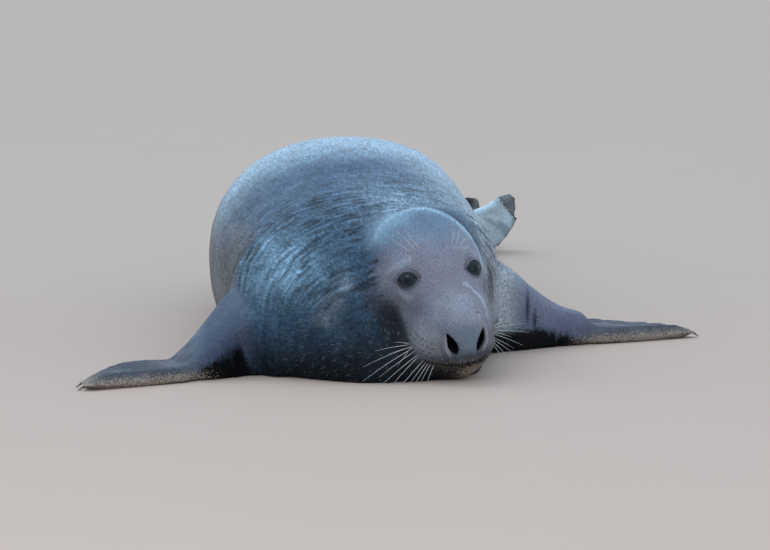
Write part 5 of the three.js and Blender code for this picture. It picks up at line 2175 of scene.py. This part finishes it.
@dataclass
class Whiskers:
    """All whiskers: rows on the whisker pads and a tuft over each eye.

    Attributes:
        pads: for each side, the first and last root of its fan, how far it leans back, and for each whisker
            its place between the roots, its angle below level in degrees and its length seen from the front.
        brow: for each whisker over an eye, its root, its direction on the right and on the left, its length.
        left_brow: how much shorter the whiskers over the left eye look.
        seed: the pattern of the small random turns.
        steps: points along each whisker.
        sides: corners round it.
        sag: how far gravity bends a whisker's tip down, in shares of its length.
        floor: the least height of a whisker over the floor.
    """

    pads: tuple[tuple[Side, Point, Point, float, tuple[Point, ...]], ...] = (
        (
            Side.RIGHT,
            (79.0, 93.0, -73.0),
            (49.0, 126.0, -97.0),
            -0.42,
            (
                (-0.05, -14, 26), (0.00, 1, 60), (0.08, 17, 84), (0.16, 12, 40), (0.20, 26, 96),
                (0.08, 50, 40), (0.30, 31, 70), (0.42, 35, 86), (0.47, 41, 66), (0.60, 45, 68),
                (0.68, 50, 48), (0.78, 53, 46), (0.88, 60, 38), (1.00, 66, 34),
            ),
        ),
        (
            Side.LEFT,
            (-66.0, 110.0, -56.0),
            (-60.0, 122.0, -82.0),
            0.55,
            (
                (0.0, -30, 22), (0.05, -8, 56), (0.2, 4, 60), (0.3, 13, 32), (0.4, 21, 52), (0.6, 26, 40),
                (0.7, 36, 46), (0.85, 44, 34), (1.0, 55, 28),
            ),
        ),
    )
    brow: tuple[tuple[Point, tuple[float, float], tuple[float, float], float], ...] = (
        ((42.0, -7.0, 38.0), (-0.80, 0.60), (0.55, 0.85), 62.0),
        ((34.0, -6.0, 39.0), (-0.68, 0.74), (0.20, 0.97), 74.0),
        ((28.0, -8.0, 41.0), (-0.60, 0.80), (0.05, 1.0), 50.0),
    )
    left_brow: float = 0.58
    seed: int = 7
    steps: int = 14
    sides: int = 6
    sag: float = 0.07
    floor: float = 2.0 * MM

    def build(self, skin_tree: BVHTree) -> None:
        """Makes and attaches one piece with every whisker."""
        whiskers = self._list(np.random.default_rng(self.seed))
        mesh = self._tubes([self._line(whisker, skin_tree) for whisker in whiskers])
        finish_piece(new_object("whiskers", mesh))

    def _list(self, rng: np.random.Generator) -> list[Whisker]:
        """Every whisker of both sides."""
        found = []
        for side, first, last, back, hairs in self.pads:
            sign = side.value
            for share, dip, length in hairs:
                root = tuple((np.array(first) + (np.array(last) - np.array(first)) * share) * MM)
                angle = math.radians(dip + rng.uniform(-2.0, 2.0))
                aim = (-sign * math.cos(angle), back + rng.uniform(-0.08, 0.08), -math.sin(angle))
                found.append(Whisker(root, aim, length * math.hypot(1.0, back) * MM))
            for place, right, left, length in self.brow:
                across, up = right if side is Side.RIGHT else left
                root = (sign * place[0] * MM, place[1] * MM, place[2] * MM)
                size = length * (1.0 if side is Side.RIGHT else self.left_brow)
                found.append(Whisker(root, (across, 0.12, up), size * MM, 0.55 * MM))
        return found

    def _line(self, whisker: Whisker, tree: BVHTree) -> tuple[np.ndarray, float]:
        """The points of one whisker, rooted in the skin and bent down, and its thickness."""
        root = HEAD.outside(np.array([whisker.root]))[0]
        place = np.array(tree.find_nearest(Vector(root))[0])
        aim = unit(np.array(whisker.aim))
        shares = np.linspace(-0.03, 1.0, self.steps)
        points = place + np.outer(shares, aim) * whisker.length
        points[:, 2] -= self.sag * whisker.length * np.clip(shares, 0.0, 1.0) ** 2.2
        points[:, 2] = np.maximum(points[:, 2], self.floor + 1.5 * MM * shares)
        return points, whisker.radius

    @staticmethod
    def _curves(lines: list[tuple[np.ndarray, float]]) -> bpy.types.Curve:
        """The whiskers' lines, thinner towards their tips."""
        curves = bpy.data.curves.new("whisker_lines", "CURVE")
        curves.dimensions = "3D"
        for points, radius in lines:
            spline = curves.splines.new("POLY")
            spline.points.add(len(points) - 1)
            for number, (place, target) in enumerate(zip(points, spline.points)):
                target.co = (*place, 1.0)
                target.radius = radius * (1.0 - 0.82 * number / (len(points) - 1))
        return curves

    def _tubes(self, lines: list[tuple[np.ndarray, float]]) -> bpy.types.Mesh:
        """The whiskers as tapering tubes, by Geometry Nodes."""
        make = GeometryTree("sweep_whiskers")
        material = make.input("Material", "NodeSocketMaterial")
        sides = make.input("Sides", "NodeSocketInt", self.sides)
        share = make.add("GeometryNodeSplineParameter", output="Factor")
        lined = make.store(make.start.outputs[0], "share", share)
        circle = {"Resolution": sides, "Radius": 1.0}
        ring = make.add("GeometryNodeCurvePrimitiveCircle", {"mode": "RADIUS"}, circle)
        radius = make.add("GeometryNodeInputRadius")
        sweep = {"Curve": lined, "Profile Curve": ring, "Scale": radius, "Fill Caps": True}
        swept = make.add("GeometryNodeCurveToMesh", {}, sweep)
        make.finish(make.add("GeometryNodeRealizeInstances", {}, {"Geometry": swept}), material)
        maker = new_object("whisker_maker", self._curves(lines))
        mesh = make.run(maker, {"Material": HairFinish().build(), "Sides": self.sides})
        bpy.data.objects.remove(maker)
        mesh.name = "whiskers"
        shade_smooth(mesh)
        return mesh


# ---------------------------------------------------------------- claws


@dataclass
class Claws:
    """The five claws of one flipper, rounded from their solids and seated in the skin of their toes.

    Attributes:
        limb: the claws' nodes without their number.
        levels: levels of subdivision.
        size: their size beside their solids'.
        depth: how deep their roots sit in the skin.
    """

    limb: str
    levels: int = 2
    size: float = 0.80
    depth: float = 2.2 * MM

    def build(self, skin_tree: BVHTree) -> None:
        """Makes and attaches the claws as one piece that stands for their nodes."""
        nodes = [f"{self.limb}_{digit}" for digit in DIGITS]
        maker = new_object(f"{self.limb}s", merged_copy(nodes))
        self._seat(maker.data, skin_tree)
        rounding = maker.modifiers.new("rounding", "SUBSURF")
        rounding.levels = rounding.render_levels = self.levels
        mesh = applied(maker)
        bpy.data.objects.remove(maker)
        mesh.name = f"{self.limb}s"
        piece = smooth_piece(mesh, HornFinish().build())
        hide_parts(*nodes)

    def _seat(self, mesh: bpy.types.Mesh, skin_tree: BVHTree) -> None:
        """Shrinks each claw about its root, seats it in the skin and stores the share of its length."""
        surface = Surface(mesh)
        middle = np.array(centre_of(self.limb.replace("claw", "flipper")))
        centres = [centre_of(f"{self.limb}_{digit}") for digit in DIGITS]
        nearest = np.argmin([distance(surface.co, centre) for centre in centres], axis=0)
        share = np.zeros(len(surface.co))
        for number in range(len(centres)):
            own = np.flatnonzero(nearest == number)
            away = distance(surface.co[own], middle)
            share[own] = (away - away.min()) / max(np.ptp(away), 1e-6)
            root = surface.co[own[share[own] < 0.25]].mean(0)
            place, normal, _, _ = skin_tree.find_nearest(Vector(root))
            seat = np.array(place) - np.array(normal) * self.depth
            surface.co[own] = seat + (surface.co[own] - root) * self.size
        surface.keep_above()
        surface.write()
        surface.put("share", share)


# ---------------------------------------------------------------- the studio


@dataclass
class Studio:
    """A plain pale floor, soft lights and the camera.

    Attributes:
        camera_place: where the camera stands.
        camera_dip: how far it looks down, in degrees.
        lens: its focal length in millimetres.
        sensor: the width of its sensor in millimetres.
        floor_size: the length of the floor's side.
        floor_colour: the floor's colour.
        sky_colour: the colour of the light from all round.
        sky_strength: its strength.
        sun_from: the direction that the light from above comes from.
        sun_spread: how wide its source looks, in degrees.
        sun_strength: its strength.
        sun_colour: its colour.
        lamp_place: where the soft light in front hangs.
        lamp_target: what it points at.
        lamp_size: the length of its side.
        lamp_power: its power in watts.
        lamp_colour: its colour.
    """

    camera_place: Point = (-0.0194, -10.588, 1.46)
    camera_dip: float = 7.496
    lens: float = 275.4
    sensor: float = 36.0
    floor_size: float = 60.0
    floor_colour: Colour = (0.535, 0.405, 0.335)
    sky_colour: Colour = (0.66, 0.83, 1.0)
    sky_strength: float = 1.06
    sun_from: Point = (-0.40, 0.45, 1.0)
    sun_spread: float = 50.0
    sun_strength: float = 0.75
    sun_colour: Colour = (0.78, 0.92, 1.0)
    lamp_place: Point = (-1.2, -4.6, 3.2)
    lamp_target: Point = (0.0, -0.6, 0.1)
    lamp_size: float = 2.6
    lamp_power: float = 44.0
    lamp_colour: Colour = (1.0, 0.97, 0.95)

    def build(self) -> None:
        """Makes the floor, the lights, the sky and the camera."""
        self._floor()
        self._sun()
        self._lamp()
        self._sky()
        self._camera()

    def _floor(self) -> None:
        """A large pale floor at height zero."""
        work = bmesh.new()
        bmesh.ops.create_grid(work, x_segments=1, y_segments=1, size=self.floor_size / 2)
        mesh = mesh_of(work, "floor")
        graph = Graph("floor_finish")
        cloud = graph.noise(graph.place(), 3.0, 3.0)
        colour = graph.mix(cloud * 0.5, self.floor_colour, tuple(0.94 * part for part in self.floor_colour))
        mesh.materials.append(graph.surface(Base_Color=colour, Roughness=0.85))
        new_object("floor", mesh)

    @staticmethod
    def _aim(lamp: bpy.types.Light, way: Vector) -> bpy.types.Object:
        """Links a light that shines along a direction."""
        made = new_object(lamp.name, lamp)
        made.rotation_euler = way.to_track_quat("-Z", "Y").to_euler()
        return made

    def _sun(self) -> None:
        """An even light from high up and a little behind, as soft as a cloudy sky."""
        sun = bpy.data.lights.new("over_light", "SUN")
        sun.energy = self.sun_strength
        sun.angle = math.radians(self.sun_spread)
        sun.color = self.sun_colour
        self._aim(sun, -Vector(self.sun_from))

    def _lamp(self) -> None:
        """A square soft light in front."""
        lamp = bpy.data.lights.new("front_light", "AREA")
        lamp.size = self.lamp_size
        lamp.energy = self.lamp_power
        lamp.color = self.lamp_colour
        self._aim(lamp, Vector(self.lamp_target) - Vector(self.lamp_place)).location = self.lamp_place

    def _sky(self) -> None:
        """An even pale light from all round."""
        world = bpy.data.worlds.new("studio_sky")
        world.use_nodes = True
        background = world.node_tree.nodes["Background"]
        background.inputs["Color"].default_value = (*self.sky_colour, 1.0)
        background.inputs["Strength"].default_value = self.sky_strength
        bpy.context.scene.world = world

    def _camera(self) -> None:
        """The camera, a little above the seal and far in front of it."""
        data = bpy.data.cameras.new("camera")
        data.lens = self.lens
        data.sensor_width = self.sensor
        data.clip_end = 200.0
        made = new_object("camera", data)
        made.location = self.camera_place
        made.rotation_euler = (math.radians(90.0 - self.camera_dip), 0.0, 0.0)
        bpy.context.scene.camera = made
        bpy.context.scene.view_settings.view_transform = "Standard"


def main() -> None:
    """Builds the dressed seal and its studio."""
    logging.basicConfig(level=logging.INFO, format="%(name)s: %(message)s")
    Studio().build()
    skin = Skin().build()
    Coat().build(skin)
    for eye in skin.face.eyes:
        Eyeball(eye).build()
    skin_tree = skin.tree()
    Whiskers().build(skin_tree)
    for side in Side:
        Claws(f"fore_claw_{side.word}").build(skin_tree)
    for side in Side:
        Claws(f"hind_claw_{side.word}", size=0.22, depth=5.0 * MM).build(skin_tree)
    skin.attach()


if __name__ == "__main__":
    main()
